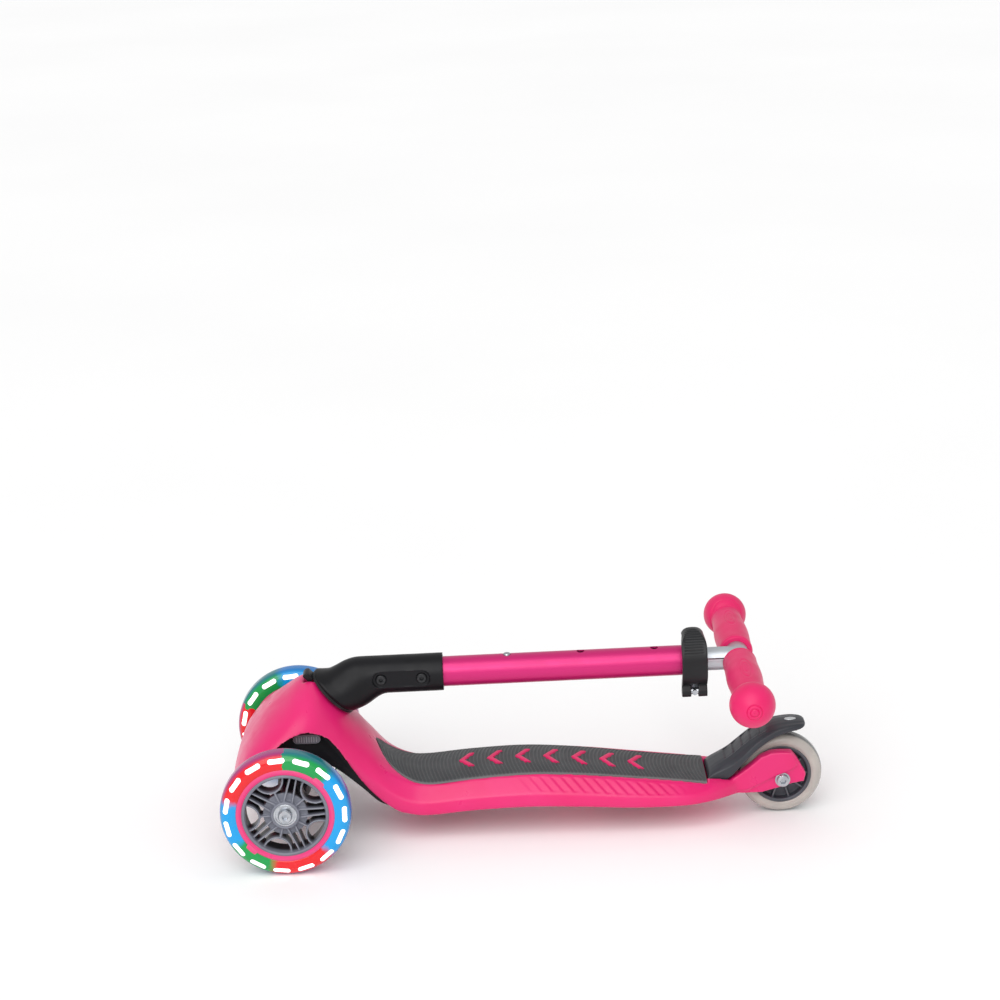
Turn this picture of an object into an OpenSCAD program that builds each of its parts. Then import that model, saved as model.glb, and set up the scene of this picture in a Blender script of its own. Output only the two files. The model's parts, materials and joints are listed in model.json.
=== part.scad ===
// Folding three-wheeled kick scooter for small children, shown folded.
// Frame: +X forward, +Y to the rider's left, +Z up, floor at Z = 0, origin under the middle
// of the whole scooter. Column frame: origin where the two column directions cross, +Z along
// the folded column towards the handlebar, +X away from the deck, +Y to the left.

/* [Wheels] */
// Distance between the front and the rear axle
wheelbase = 468.5; // [420:0.5:570]
// Distance between the middles of the two front wheels
front_track = 214; // [204:1:240]
// Outer diameter of a front wheel
front_wheel_d = 121; // [110:1:126]
// Width of a front tyre
front_wheel_w = 24; // [22:1:26]
// Outer diameter of the rear wheel
rear_wheel_d = 80; // [72:1:84]
// Width of the rear tyre
rear_wheel_w = 22; // [20:1:24]
// Diameter of a front wheel core
core_d = 80.6; // [70:0.1:84]
// Outer diameter of the coloured band round a front core
band_d = 90.6; // [86:0.1:96]
// Diameter of the rear wheel core
rear_core_d = 58; // [50:1:62]
// Number of light windows round a front tyre
window_count = 15; // [9:1:20]
// Outer diameter of a ball bearing
bearing_d = 22; // [19:1:24]
// Width of a ball bearing
bearing_w = 7; // [5:1:8]
// Diameter of the axle bolts
axle_d = 8; // [6:1:8]

/* [Deck] */
// Width of the deck at its widest
deck_w = 104; // [92:1:125]
// Width of the nose fairing at its widest
nose_w = 160; // [150:1:162]
// Width of the rubbery deck mat
mat_w = 74; // [60:1:80]
// Depth of the mat's seat in the deck, below its crest
mat_depth = 5; // [4.2:0.1:7]
// Thickness of the deck's top above its underside pockets
deck_top_t = 9; // [8:0.5:12]
// Distance between the fork arms
fork_gap = 27; // [26:0.5:31]
// Distance across the outside of the fork arms
fork_w = 50; // [44:1:54]

/* [Fold joint] */
// Where the two column directions cross, ahead of (+) or behind (-) the front axle
fold_dx = -58; // [-64:1:-52]
// Height of that crossing above the floor
fold_z = 150.8; // [148:0.1:155]
// Lean of the fold joint's axis, from the vertical towards the rear
fold_lean = 46; // [45:0.5:47]
// Rise of the folded column towards the rear
fold_rise = 1; // [0:0.1:2]
// Distance from the crossing down to the turning face
seat_drop = 20; // [19:0.5:22]
// Diameter of the turning face
seat_d = 54; // [50:1:56]
// Diameter of the fold joint's bolt
pivot_d = 10; // [8:1:10]

/* [Column] */
// Outer diameter of the lower column tube
tube_d = 28.6; // [26.6:0.1:31]
// Wall of the lower column tube
tube_wall = 1.5; // [1.2:0.1:1.6]
// Outer diameter of the handlebar's own tube
inner_d = 22.2; // [20:0.1:22.8]
// Wall of the handlebar's own tube
inner_wall = 1.6; // [1.2:0.1:2]
// Wall of the sleeve round the lower tube
sleeve_wall = 3.7; // [3:0.1:4.5]
// Distance from the crossing to the sleeve's end
sleeve_len = 89.5; // [84:0.5:100]
// Distance from the crossing to the middle of the clamp collar
clamp_at = 327; // [318:1:400]
// Distance from the clamp collar to the crossbar
bar_above_clamp = 43; // [40:1:52]
// Distance from the crossing to the lowest height hole
snap_at = 150.5; // [140:0.5:156]
// Distance between two height holes
hole_pitch = 70; // [50:1:70]
// Number of height positions
hole_count = 3; // [2:1:3]

/* [Handlebar and clamp] */
// Width over the two grips
bar_w = 286; // [240:1:350]
// Diameter of the ball at a grip's end
ball_d = 42; // [36:1:44]
// Length of crossbar that shows between the grips
bar_bare = 28; // [24:1:40]
// Length of the clamp collar along the column
collar_h = 15; // [13:1:18]
// Width of the clamp lever along the column
lever_w = 24; // [20:1:26]

/* [Steering] */
// Lean of the steering axis, from the vertical towards the front
steer_lean = 35; // [30:1:38]
// Diameter of the steering kingpin
kingpin_d = 10; // [8:1:10]
// Diameter of the truck's hub
hub_d = 34; // [30:1:36]
// Width of the steering base
base_w = 92; // [84:1:96]

/* [Fits] */
// Gap between pieces that move past each other
gap = 0.3; // [0.2:0.05:0.4]
// Radial clearance of a turning shaft in its bore
run = 0.05; // [0.02:0.01:0.08]

/* [Hidden] */
$fn = 64;
front_x = (wheelbase + rear_wheel_d / 2 - front_wheel_d / 2) / 2;
rear_x = front_x - wheelbase;
axle_z = front_wheel_d / 2;
rear_z = rear_wheel_d / 2;
lift = axle_z - 60.5;                  // how far a larger front wheel raises the nose
fold_x = front_x + fold_dx;
fold_h = fold_z + lift;
tube_r = tube_d / 2;
sleeve_r = tube_r + sleeve_wall;
seat_r = seat_d / 2;
bar_at = clamp_at + bar_above_clamp;
bearing_in = bearing_w / 2;            // inner faces of the two bearings of a wheel
bearing_out = bearing_in + bearing_w;
axle_r = axle_d / 2;
hub_h = [front_x - 12, axle_z + 1.5];  // middle of the truck's hub, seen from the side
hub_top = 13;                          // its turning face, along the steering axis
beam_end = front_track / 2 - bearing_out - gap;
slot_x = rear_x + rear_wheel_d / 2 + 3.5;   // front end of the slot for the rear wheel
deck_r = deck_w / 2;
nose_r = nose_w / 2;
fork_in = fork_gap / 2;
fork_out = fork_w / 2;
brake_pin = [rear_x + 64.5, rear_z - 0.2];  // the brake's pivot, seen from the side
brake_w = fork_w - 3;                  // width of the brake fender
dark = "#2b2d31";
grey = "#54575a";
pink = "#ee3a80";
silver = "#c3c6cb";
core_grey = "#7f828c";

// ---------- curves and shared outlines ----------

// One step of a smooth curve through p1 and p2
function curve(p0, p1, p2, p3, t) = 0.5 * (2 * p1 + (p2 - p0) * t
    + (2 * p0 - 5 * p1 + 4 * p2 - p3) * t * t + (3 * p1 - p0 - 3 * p2 + p3) * t * t * t);
// A smooth curve through all of p, with n steps from each point to the next
function spline(p, n) = [for (i = [0:len(p) - 2]) for (k = [0:n - 1])
    curve(p[max(i - 1, 0)], p[i], p[i + 1], p[min(i + 2, len(p) - 1)], k / n), p[len(p) - 1]];
// A place on the deck: s runs from 0 at the tail to 1 at the foot of the neck
function along_deck(s) = rear_x + 74.5 + s * (wheelbase - 184.5);

// Side outline from above, foot of the neck to tail: place, crest, shoulder, underside,
// half width and squareness of the deck's cross-section
DECK_KEYS = [
    [rear_x + 44.5, 44, 33, 25, fork_out + 0.5, 4],
    [rear_x + 60, 45, 32.5, 24.5, deck_r * 0.7, 3.4],
    [along_deck(0), 46, 32, 24, deck_r * 0.84, 3.2],
    [along_deck(0.08), 48, 32, 23, deck_r * 0.95, 3],
    [along_deck(0.24), 53.3, 33, 23.4, deck_r, 3],
    [along_deck(0.42), 59.5, 36, 26, deck_r, 3],
    [along_deck(0.6), 62.8, 37.5, 27.6, deck_r, 3],
    [along_deck(0.78), 60.6, 35.5, 25.8, deck_r, 3],
    [along_deck(0.93), 56.8, 32, 22.2, deck_r, 3],
    [front_x - 110, 60 + lift, 35 + lift, 24.4 + lift, deck_r, 2.8],
    [front_x - 92, 72 + lift, 45 + lift, 26.6 + lift, deck_r * 0.97, 2.4],
    [front_x - 76, 93 + lift, 60 + lift, 31 + lift, deck_r * 0.95, 2],
    [front_x - 58, 114.5 + lift, 80 + lift, 40 + lift, deck_r, 1.9],
    [front_x - 42, 135 + lift, 96 + lift, 50 + lift, nose_r * 0.71, 1.8],
    [front_x - 26, 150 + lift, 106 + lift, 56 + lift, nose_r * 0.79, 1.75],
    [front_x - 10, 147.5 + lift, 107 + lift, 57 + lift, nose_r * 0.87, 1.7],
    [front_x + 6, 135.5 + lift, 103 + lift, 57 + lift, nose_r * 0.94, 1.7],
    [front_x + 22, 121.5 + lift, 94 + lift, 57 + lift, nose_r * 0.99, 1.8],
    [front_x + 36, 105 + lift, 84 + lift, 57 + lift, nose_r * 0.98, 2],
    [front_x + 46, 89 + lift, 75 + lift, 57 + lift, nose_r * 0.88, 2.2],
    [front_x + 51.5, 75 + lift, 67 + lift, 58 + lift, nose_r * 0.7, 2.4],
    [front_x + 54.5, 66 + lift, 62.5 + lift, 59 + lift, nose_r * 0.45, 2.4]];
DECK_RINGS = spline(DECK_KEYS, 2);
RING_POINTS = 24;

// Lower edge of the nose, from the underside of the deck to the front lip
ARCH_KEYS = [for (p = [[-118, 20], [-106, 27.5], [-94, 36], [-84, 44], [-70, 60], [-59, 77.5],
    [-46, 98], [-34, 110], [-18, 115.5], [0, 111], [14, 101.5], [27, 88], [37, 70], [41, 55]])
    [front_x + p[0], p[1] + lift]];
ARCH = spline(ARCH_KEYS, 4);
// Lower edge of the steering base
BASE_LOW = spline([for (p = [[-93, 34.5], [-82.4, 41], [-68.4, 54.5], [-48.5, 72], [-34, 81],
    [-16, 86], [6, 88], [25, 90]]) [front_x + p[0], p[1] + lift]], 3);

function side_power(v, p) = sign(v) * pow(abs(v), 2 / p);
function ring(s) = [for (k = [0:RING_POINTS - 1]) let (a = 360 * (k + 0.5) / RING_POINTS)
    [s[0], s[4] * side_power(cos(a), s[5]),
     sin(a) > 0 ? s[2] + (s[1] - s[2]) * side_power(sin(a), s[5])
                : s[2] + (s[2] - s[3]) * side_power(sin(a), 4)]];
function skin(m, n) = concat(
    [[for (k = [0:n - 1]) k]],
    [for (i = [0:m - 2]) for (k = [0:n - 1]) let (a = i * n + k, b = i * n + (k + 1) % n)
        each [[a, a + n, b], [b, a + n, b + n]]],
    [[for (k = [n - 1:-1:0]) (m - 1) * n + k]]);

// The whole outer form of deck and nose
module deck_form()
    polyhedron([for (s = DECK_RINGS) each ring(s)], skin(len(DECK_RINGS), RING_POINTS));

// A side outline in X and Z, drawn out to the width w about the middle
module side_plate(w, points)
    rotate([90, 0, 0]) linear_extrude(w, center = true) polygon(points);

// Everything between the height-wise outline and the sky
module above(points, w, top = 400)
    side_plate(w, concat(points, [[points[len(points) - 1][0], top], [points[0][0], top]]));
module below(points, w, floor = -10)
    side_plate(w, concat(points, [[points[len(points) - 1][0], floor], [points[0][0], floor]]));

// The frames that pieces are drawn in
module column_frame() translate([fold_x, 0, fold_h]) rotate([0, -(90 - fold_rise), 0]) children();
module fold_frame() translate([fold_x, 0, fold_h]) rotate([0, -fold_lean, 0]) children();
module steer_frame() translate([hub_h[0], 0, hub_h[1]]) rotate([0, steer_lean, 0]) children();
module front_frame(side)
    translate([front_x, side * front_track / 2, axle_z]) rotate([-90 * side, 0, 0]) children();
module rear_frame() translate([rear_x, 0, rear_z]) rotate([-90, 0, 0]) children();

module ring_z(r_out, r_in, z0, z1)
    translate([0, 0, z0]) difference() {
        cylinder(r = r_out, h = z1 - z0);
        translate([0, 0, -1]) cylinder(r = r_in, h = z1 - z0 + 2);
    }
module rod_z(r, z0, z1) translate([0, 0, z0]) cylinder(r = r, h = z1 - z0);
module rod_y(r, y0, y1) translate([0, y0, 0]) rotate([-90, 0, 0]) cylinder(r = r, h = y1 - y0);
// A slot-shaped bar along Z, l long and w wide over all
module stadium(l, w, h) {
    translate([-(l - w) / 2, -w / 2, 0]) cube([l - w, w, h]);
    for (s = [-1, 1]) translate([s * (l - w) / 2, 0, 0]) cylinder(d = w, h = h);
}

// ---------- deck ----------

mat_tail_x = along_deck(0) + 0.5;
mat_tip_x = front_x - 80;
MAT_OUTLINE = let (half = spline([[mat_tail_x, mat_w * 0.45], [along_deck(0.2), mat_w * 0.43],
    [along_deck(0.5), mat_w * 0.475], [along_deck(0.8), mat_w * 0.505],
    [front_x - 140, mat_w * 0.52], [front_x - 120, mat_w * 0.48],
    [front_x - 100, mat_w * 0.36], [front_x - 88, mat_w * 0.2], [mat_tip_x, 0]], 4))
    concat(half, [for (i = [len(half) - 2:-1:0]) [half[i][0], -half[i][1]]]);
MAT_FLOOR = [for (s = DECK_RINGS) if (s[0] > mat_tail_x - 25 && s[0] < front_x - 45)
    [s[0], s[1] - mat_depth]];

module mat_zone() intersection() {
    linear_extrude(200) polygon(MAT_OUTLINE);
    above(MAT_FLOOR, deck_w);
}

module deck_mat() color(grey) intersection() {
    deck_form();
    mat_zone();
}

module fork_arms() {
    for (s = [-1, 1]) translate([0, s * (fork_in + fork_out) / 2, 0])
        side_plate(fork_out - fork_in, [
            [rear_x + 62, 28], [rear_x + 62, 38], [rear_x + 52, 41.5], [rear_x + 41, rear_z + 8],
            [rear_x + 31, rear_z + 15], [rear_x + 21, rear_z + 24], [rear_x + 11, rear_z + 28.5],
            [rear_x + 3, rear_z + 29], [rear_x - 8.5, rear_z + 28.5],
            [rear_x - 14, rear_z + 21], [rear_x - 22.5, rear_z + 5], [rear_x - 20.5, rear_z - 2.5],
            [rear_x - 7, rear_z - 5.2], [rear_x + 3, rear_z - 8.5], [rear_x + 20, rear_z - 13],
            [rear_x + 37, 26.5], [rear_x + 50, 27.5]]);
}

// The seat for the brake fender between the fork arms
BRAKE_SEAT = [[rear_x + 35, 90], [rear_x + 38.5, 52], [rear_x + 47, 44], [rear_x + 54, 38],
    [rear_x + 58, brake_pin[1] - 4.8], [rear_x + 72.2, brake_pin[1] - 4.8], [rear_x + 72.2, 90]];
POCKETS = 6;
pocket_x0 = along_deck(0.06);
pocket_step = (front_x - 122 - pocket_x0) / POCKETS;
pad_x = pocket_x0 + 2.5 * pocket_step;
pad_z = 36;
spine_w = 8;
pocket_w = deck_w * 0.33;

module deck_shell() color(pink) difference() {
    union() {
        deck_form();
        fork_arms();
    }
    // the arch under the nose
    below(ARCH, nose_w + 40);
    // the flat for the turning head, its plate and its bolt
    fold_frame() {
        rod_z(seat_r + 2.5, -seat_drop, 60);
        rod_z(seat_r - 0.5, -seat_drop - 3, 0);
        rod_z(pivot_d / 2, -50, 0);
        rod_z(10, -60, -seat_drop - 20);
        rotate([0, 0, 180]) translate([16, 0, 0]) rod_z(4, -seat_drop - 14, 0);
    }
    fold_button_room();
    mat_zone();
    // pockets and the flat pad on the underside, with a spine between the two rows
    for (k = [0:POCKETS - 1], side = [-1, 1]) if (k != 2) intersection() {
        below([for (s = DECK_RINGS) [s[0], s[1] - deck_top_t]], deck_w);
        translate([pocket_x0 + k * pocket_step + 2, side * (spine_w + pocket_w) / 2 - pocket_w / 2, 0])
            cube([pocket_step - 4, pocket_w, 200]);
    }
    translate([pad_x - pocket_step / 2 + 2, -pocket_w, 0])
        cube([pocket_step - 4, 2 * pocket_w, pad_z]);
    // room for the rear wheel, its axle, the brake and its pin
    translate([slot_x - 200, -fork_in, -10]) cube([200, fork_gap, 200]);
    side_plate(brake_w + 2 * gap + 0.4, BRAKE_SEAT);
    translate([rear_x, 0, rear_z]) rod_y(axle_r, -60, 60);
    translate([brake_pin[0], 0, brake_pin[1]]) rod_y(2.2, -fork_out - 4, fork_out + 4);
    base_screw_places() {
        rod_z(2, -30, 24);
        rod_z(4, -30, -3);
    }
}

module base_screw_places()
    for (p = [[-75, 55], [-40, 103]]) for (s = [-1, 1])
        translate([front_x + p[0], s * base_w * 0.33, p[1] + lift]) children();

// ---------- fold joint ----------

module fold_seat() color(dark) fold_frame() difference() {
    ring_z(seat_r - 0.5, pivot_d / 2, -seat_drop - 3, -seat_drop);
    rotate([0, 0, 180]) translate([16, 0, 0]) rod_z(4, -50, 0);
}

module fold_pivot_bolt() color(silver) fold_frame() {
    rod_z(pivot_d / 2, -seat_drop - 24, 3);
    rod_z(9, -seat_drop - 26, -seat_drop - 20);
}

module fold_pivot_nut() color(silver) fold_frame()
    difference() {
        union() {
            rod_z(8.6, -7.7, -6.2);
            translate([0, 0, -6.2]) cylinder(d = 15.6, h = 7, $fn = 6);
        }
        rod_z(pivot_d / 2, -30, 30);
    }

module fold_lock_plunger() color(silver) fold_frame()
    rotate([0, 0, 180]) translate([16, 0, 0]) rod_z(3.7, -seat_drop - 13, -seat_drop - 0.5);

button_top = -seat_drop - 3.5;
module fold_release_button() color(dark) fold_frame()
    translate([23.5, -8, button_top - 6]) difference() {
        cube([9.5, 16, 6]);
        for (k = [0:4]) translate([7, 2 + 3 * k - 0.4, 5.4]) cube([3, 0.8, 2]);
    }
module fold_button_room() fold_frame()
    translate([23.5 - 8, -8 - gap, button_top - 6 - gap]) cube([40, 16 + 2 * gap, 6 + 2 * gap]);
module fold_button_spring() color(silver) fold_frame()
    translate([18, 0, button_top - 3]) rotate([0, 90, 0])
        for (k = [0:3]) translate([0, 0, -1.6 + 1.1 * k]) rotate_extrude($fn = 32)
            translate([2, 0]) circle(d = 0.7, $fn = 16);

// ---------- steering ----------

module steering_base() color("#1d1e21") difference() {
    union() {
        intersection() {
            below([for (p = ARCH) if (p[0] < front_x + 26) p], base_w);
            above(BASE_LOW, base_w + 2);
        }
        intersection() {
            steer_frame() rod_z(hub_d / 2, hub_top + gap + 0.1, 60);
            below(ARCH, base_w);
        }
    }
    steer_frame() {
        rod_z(kingpin_d / 2, 0, 40);
        translate([0, 0, hub_top + 14]) cylinder(d = 18.2, h = 60, $fn = 6);
    }
    lock_place() rotate([90, 0, 0])
        translate([0, 0, -base_w]) stadium(26 + 2 * gap, 9 + 2 * gap, 2 * base_w);
    base_screw_places() {
        rod_z(2, -60, 60);
        rod_z(4, -60, -3);
    }
    spring_places() rod_z(5.2, -12, 8);
}

module lock_place() translate([front_x - 18, 0, 107 + lift]) children();
module spring_places() for (s = [-1, 1])
    steer_frame() translate([-4, s * 29, 21]) children();

module base_screws() color(silver) base_screw_places() {
    rod_z(2, -4, 20);
    rod_z(3.8, -6.5, -3.2);
}

module steering_lock_button() color(core_grey) lock_place() rotate([90, 0, 0]) difference() {
    translate([0, 0, -base_w / 2 - 4]) stadium(26, 9, base_w + 2);
    for (k = [-3:3]) translate([3 * k - 0.5, -6, -base_w / 2 - 5]) cube([1, 12, 1.6]);
}

module steering_kingpin() color(silver) steer_frame() {
    rod_z(kingpin_d / 2, -hub_top - 4, hub_top + 24);
    rod_z(9, -hub_top - 10, -hub_top - 3.3);
    rod_z(12, -hub_top - 3.3, -hub_top - gap - 0.1);
}
module kingpin_nut() color(silver) steer_frame()
    difference() {
        translate([0, 0, hub_top + 14]) cylinder(d = 18, h = 8, $fn = 6);
        rod_z(kingpin_d / 2, 0, 60);
    }

module steering_springs() color(silver) spring_places()
    for (k = [1:5]) translate([0, 0, -6.2 + 2 * k]) rotate_extrude($fn = 32)
        translate([3.8, 0]) circle(d = 1.5, $fn = 16);

module truck() color("#26272a") difference() {
    union() {
        steer_frame() rod_z(hub_d / 2, -hub_top, hub_top);
        translate([front_x, 0, axle_z]) {
            rod_y(9, -beam_end, beam_end);
            for (s = [-1, 1]) translate([0, s * 38, 0]) rotate([90, 0, 0])
                linear_extrude(44, center = true)
                polygon([[-20, -8], [-20, 4], [-10, 11], [8, 11], [12, 4], [12, -6], [6, -10], [-14, -12]]);
        }
    }
    steer_frame() {
        rod_z(kingpin_d / 2 + run, -60, 60);
        rod_z(hub_d / 2 + 1, hub_top, 60);
    }
    for (s = [-1, 1]) translate([front_x, 0, axle_z])
        rod_y(axle_r, s > 0 ? beam_end - 26 : -beam_end - 10, s > 0 ? beam_end + 10 : -beam_end + 26);
}

// ---------- front wheels ----------

tyre_mid_r = axle_z - 9;               // centre of the rounded shoulder of a front tyre
function tyre_half(r) = front_wheel_w / 2 - 9 + sqrt(max(81 - pow(r - tyre_mid_r, 2), 0));
window_r0 = axle_z - 7.5;
window_r1 = axle_z - 3.5;
window_t = 1.2;
TYRE_SIDE = concat([[band_d / 2, front_wheel_w / 2 - 0.8], [tyre_mid_r - 2.5, front_wheel_w / 2 - 0.8]],
    [for (a = [90:-10:10]) [tyre_mid_r + 9 * cos(a), front_wheel_w / 2 - 9 + 9 * sin(a)]],
    [[axle_z, 0]]);
window_gap = 0.1;                      // its gap in the tyre's groove
function window_x(p) = min(max(p[0], window_r0 + window_gap), window_r1 - window_gap);
WINDOW_TOP = [for (k = [0:4]) let (r = window_r0 + k * (window_r1 - window_r0) / 4) [r, tyre_half(r)]];

module tyre() difference() {
    rotate_extrude() polygon(concat(TYRE_SIDE,
        [for (i = [len(TYRE_SIDE) - 2:-1:0]) [TYRE_SIDE[i][0], -TYRE_SIDE[i][1]]]));
    for (s = [0, 1]) mirror([0, 0, s]) rotate_extrude() polygon(concat(
        [for (p = WINDOW_TOP) [p[0], p[1] - window_t]], [[window_r1, 20], [window_r0, 20]]));
}
module light_windows() for (s = [0, 1]) mirror([0, 0, s]) for (k = [0:window_count - 1])
    rotate([0, 0, k * 360 / window_count]) rotate_extrude(angle = 248 / window_count)
        polygon(concat([for (p = WINDOW_TOP) [window_x(p), p[1] - window_t + 1.5 * window_gap]],
            [for (i = [4:-1:0]) [window_x(WINDOW_TOP[i]), WINDOW_TOP[i][1]]]));

module rim_band() {
    difference() {
        ring_z(band_d / 2, core_d / 2, -front_wheel_w / 2 + 1, front_wheel_w / 2 - 0.8);
        ring_z(core_d / 2 + 1, core_d / 2 - 1, front_wheel_w / 2 - 2, front_wheel_w / 2);
    }
    for (a = [45, 225]) rotate([0, 0, a]) translate([band_d / 2 - 2, -6, front_wheel_w / 2 - 0.8])
        cube([4.5, 12, 0.9]);
}

SPOKES = 5;
module wheel_core() difference() {
    union() {
        ring_z(core_d / 2, core_d / 2 - 4, -front_wheel_w / 2 + 2, front_wheel_w / 2 - 2);
        rod_z(bearing_d / 2 + 2.4, -bearing_out, bearing_out);
        rod_z(21, 2, bearing_out - 2);
        for (k = [0:SPOKES - 1]) rotate([0, 0, k * 360 / SPOKES]) {
            for (s = [-1, 1]) translate([11, s * 3.4 - 1.3, -7]) cube([core_d / 2 - 13, 2.6, 15]);
            rotate([0, 0, 180 / SPOKES]) intersection() {
                translate([core_d / 2 - 8, 0, 0]) ring_z(12.5, 10.3, -6, 8);
                ring_z(core_d / 2 - 3, 15, -7, 9);
            }
        }
    }
    for (s = [0, 1]) mirror([0, 0, s]) rod_z(bearing_d / 2, bearing_in, 30);
    rod_z(bearing_d / 2 - 2.8, -30, 30);
}

module bearings() for (s = [0, 1]) mirror([0, 0, s])
    difference() {
        rod_z(bearing_d / 2, bearing_in, bearing_out);
        rod_z(axle_r + run, 0, 30);
        ring_z(bearing_d / 2 - 2, axle_r + 2, bearing_out - 0.6, 30);
    }

module coil_ring() ring_z(bearing_d / 2 - 2.8, axle_r + 2.2, -bearing_in + 0.5, bearing_in - 0.5);
module magnet_sleeve() ring_z(axle_r + 1.5, axle_r, -bearing_in + gap, bearing_in - gap);
module axle_bolt() difference() {
    union() {
        rod_z(axle_r, -bearing_out - 24, bearing_out + gap + 1);
        rod_z(6.2, bearing_out + gap, bearing_out + gap + 4);
    }
    translate([0, 0, bearing_out + 1.6]) cylinder(d = 6, h = 10, $fn = 6);
}

module tyre_left() color("#22a6e0") front_frame(1) tyre();
module tyre_right() color("#22a6e0") front_frame(-1) tyre();
module light_windows_left() color("white") front_frame(1) light_windows();
module light_windows_right() color("white") front_frame(-1) light_windows();
module rim_band_left() color(pink) front_frame(1) rim_band();
module rim_band_right() color(pink) front_frame(-1) rim_band();
module wheel_core_left() color(core_grey) front_frame(1) wheel_core();
module wheel_core_right() color(core_grey) front_frame(-1) wheel_core();
module bearings_left() color(silver) front_frame(1) bearings();
module bearings_right() color(silver) front_frame(-1) bearings();
module coil_ring_left() color("peru") front_frame(1) coil_ring();
module coil_ring_right() color("peru") front_frame(-1) coil_ring();
module magnet_sleeve_left() color("dimgray") front_frame(1) magnet_sleeve();
module magnet_sleeve_right() color("dimgray") front_frame(-1) magnet_sleeve();
module axle_bolt_left() color(silver) front_frame(1) axle_bolt();
module axle_bolt_right() color(silver) front_frame(-1) axle_bolt();

// ---------- rear wheel and brake ----------

module rear_tyre() color("#d5d2cc") rear_frame() rotate_extrude() polygon(concat(
    [[rear_core_d / 2, rear_wheel_w / 2 - 1]],
    [for (a = [80:-10:-80]) [rear_z - 9 + 9 * cos(a), (rear_wheel_w / 2 - 9) * sign(a) + 9 * sin(a)]],
    [[rear_core_d / 2, -rear_wheel_w / 2 + 1]]));

module rear_wheel_core() color(grey) rear_frame() difference() {
    union() {
        ring_z(rear_core_d / 2, rear_core_d / 2 - 4, -rear_wheel_w / 2 + 2, rear_wheel_w / 2 - 2);
        rod_z(bearing_d / 2 + 2.4, -bearing_out, bearing_out);
        rod_z(rear_core_d / 2 - 2, -2.5, 2.5);
        for (k = [0:5]) rotate([0, 0, k * 60]) translate([11, -1.3, -7])
            cube([rear_core_d / 2 - 13, 2.6, 14]);
    }
    for (s = [0, 1]) mirror([0, 0, s]) rod_z(bearing_d / 2, bearing_in, 30);
    rod_z(bearing_d / 2 - 2.8, -30, 30);
}

module rear_bearings() color(silver) rear_frame() bearings();
module rear_spacers() color(silver) rear_frame() {
    magnet_sleeve();
    for (s = [0, 1]) mirror([0, 0, s]) ring_z(axle_r + 2, axle_r, bearing_out + gap, fork_in);
}
module rear_axle_bolt() color(silver) rear_frame() difference() {
    union() {
        rod_z(axle_r, -fork_out - 6, fork_out + 1);
        rod_z(6, fork_out, fork_out + 4);
    }
    translate([0, 0, fork_out + 1.6]) cylinder(d = 6, h = 10, $fn = 6);
}
module rear_axle_nut() color(silver) rear_frame() difference() {
    translate([0, 0, -fork_out - 6.5]) cylinder(d = 13.4, h = 6.5, $fn = 6);
    rod_z(axle_r, -60, 60);
}

// The fender from its front edge to its tail, from above the rear axle: place, top, height
// of the shoulder crease, lower edge, half width of the top and half width over all
FENDER_KEYS = [[71.3, 7, 4.5, -2.4, 12, brake_w / 2], [65, 11, 6.5, -2.2, 12, brake_w / 2],
    [57, 15.8, 9.5, 0, 12, brake_w / 2], [49, 21, 14, 6, 12, brake_w / 2],
    [42, 27, 20, 13.5, 12, brake_w / 2], [34, 33.5, 27, 22.5, 12, brake_w / 2],
    [25, 40, 34.5, 31, 11.8, brake_w / 2 - 1], [14, 45.8, 41.5, 38.5, 11.4, brake_w / 2 - 3],
    [4, 49.4, 46, 43.5, 11, brake_w / 2 - 5], [-7.5, 51.2, 48.5, 46, 10.4, brake_w / 2 - 7],
    [-18, 51.4, 49, 46.8, 9, brake_w / 2 - 10], [-23.5, 50.4, 49, 48, 6, brake_w / 2 - 15]];
FENDER = spline(FENDER_KEYS, 3);
function fender_ring(s) = [for (p = [[1, s[3], s[5]], [1, s[2], s[5]], [1, s[1] - 0.8, s[4]],
    [1, s[1], s[4] * 0.5], [-1, s[1], s[4] * 0.5], [-1, s[1] - 0.8, s[4]], [-1, s[2], s[5]],
    [-1, s[3], s[5]]]) [rear_x + s[0], p[0] * p[2], rear_z + p[1]]];

module brake_fender() color("#3f4246") difference() {
    union() {
        polyhedron([for (i = [len(FENDER) - 1:-1:0]) each fender_ring(FENDER[i])], skin(len(FENDER), 8));
        translate([brake_pin[0], 0, brake_pin[1]]) rod_y(4.2, -brake_w / 2 + 0.5, brake_w / 2 - 0.5);
    }
    // hollow underside that clears the tyre, the pin's bore, the spring's room and the step ridges
    translate([rear_x, 0, rear_z]) rod_y(rear_z + 4.2, -fork_in + 1.2, fork_in - 1.2);
    translate([brake_pin[0], 0, brake_pin[1]]) rod_y(2.2 + run, -60, 60);
    translate([brake_pin[0], 0, brake_pin[1]]) rod_y(5.2, -4, 4);
    translate([brake_pin[0] - 6, -4, brake_pin[1] - 8]) cube([12, 8, 8]);
    for (k = [0:4]) let (p = FENDER[7 + 3 * k])
        translate([rear_x + p[0] - 0.7, -9, rear_z + p[1] - 1]) cube([1.4, 18, 8]);
    badge_place() rod_z(5, -1, 5);
}
module badge_place() translate([rear_x - 9, 0, rear_z + 50.8]) children();
module brake_badge() color("lightgray") badge_place() rod_z(4.8, -1, 0.2);
module brake_pin() color(silver) translate([brake_pin[0], 0, brake_pin[1]])
    rod_y(2.2, -fork_out - 3.5, fork_out + 3.5);
module brake_spring() color(silver) translate([brake_pin[0], 0, brake_pin[1]]) rotate([90, 0, 0])
    for (k = [-2:2]) translate([0, 0, 1.5 * k]) rotate_extrude($fn = 32)
        translate([3.4, 0]) circle(d = 1.2, $fn = 16);

// ---------- column ----------

HEAD_BOLTS = [30.5, 69];               // head bolts, from the crossing along the column
recess_y = sleeve_r - 1.2;

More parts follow.
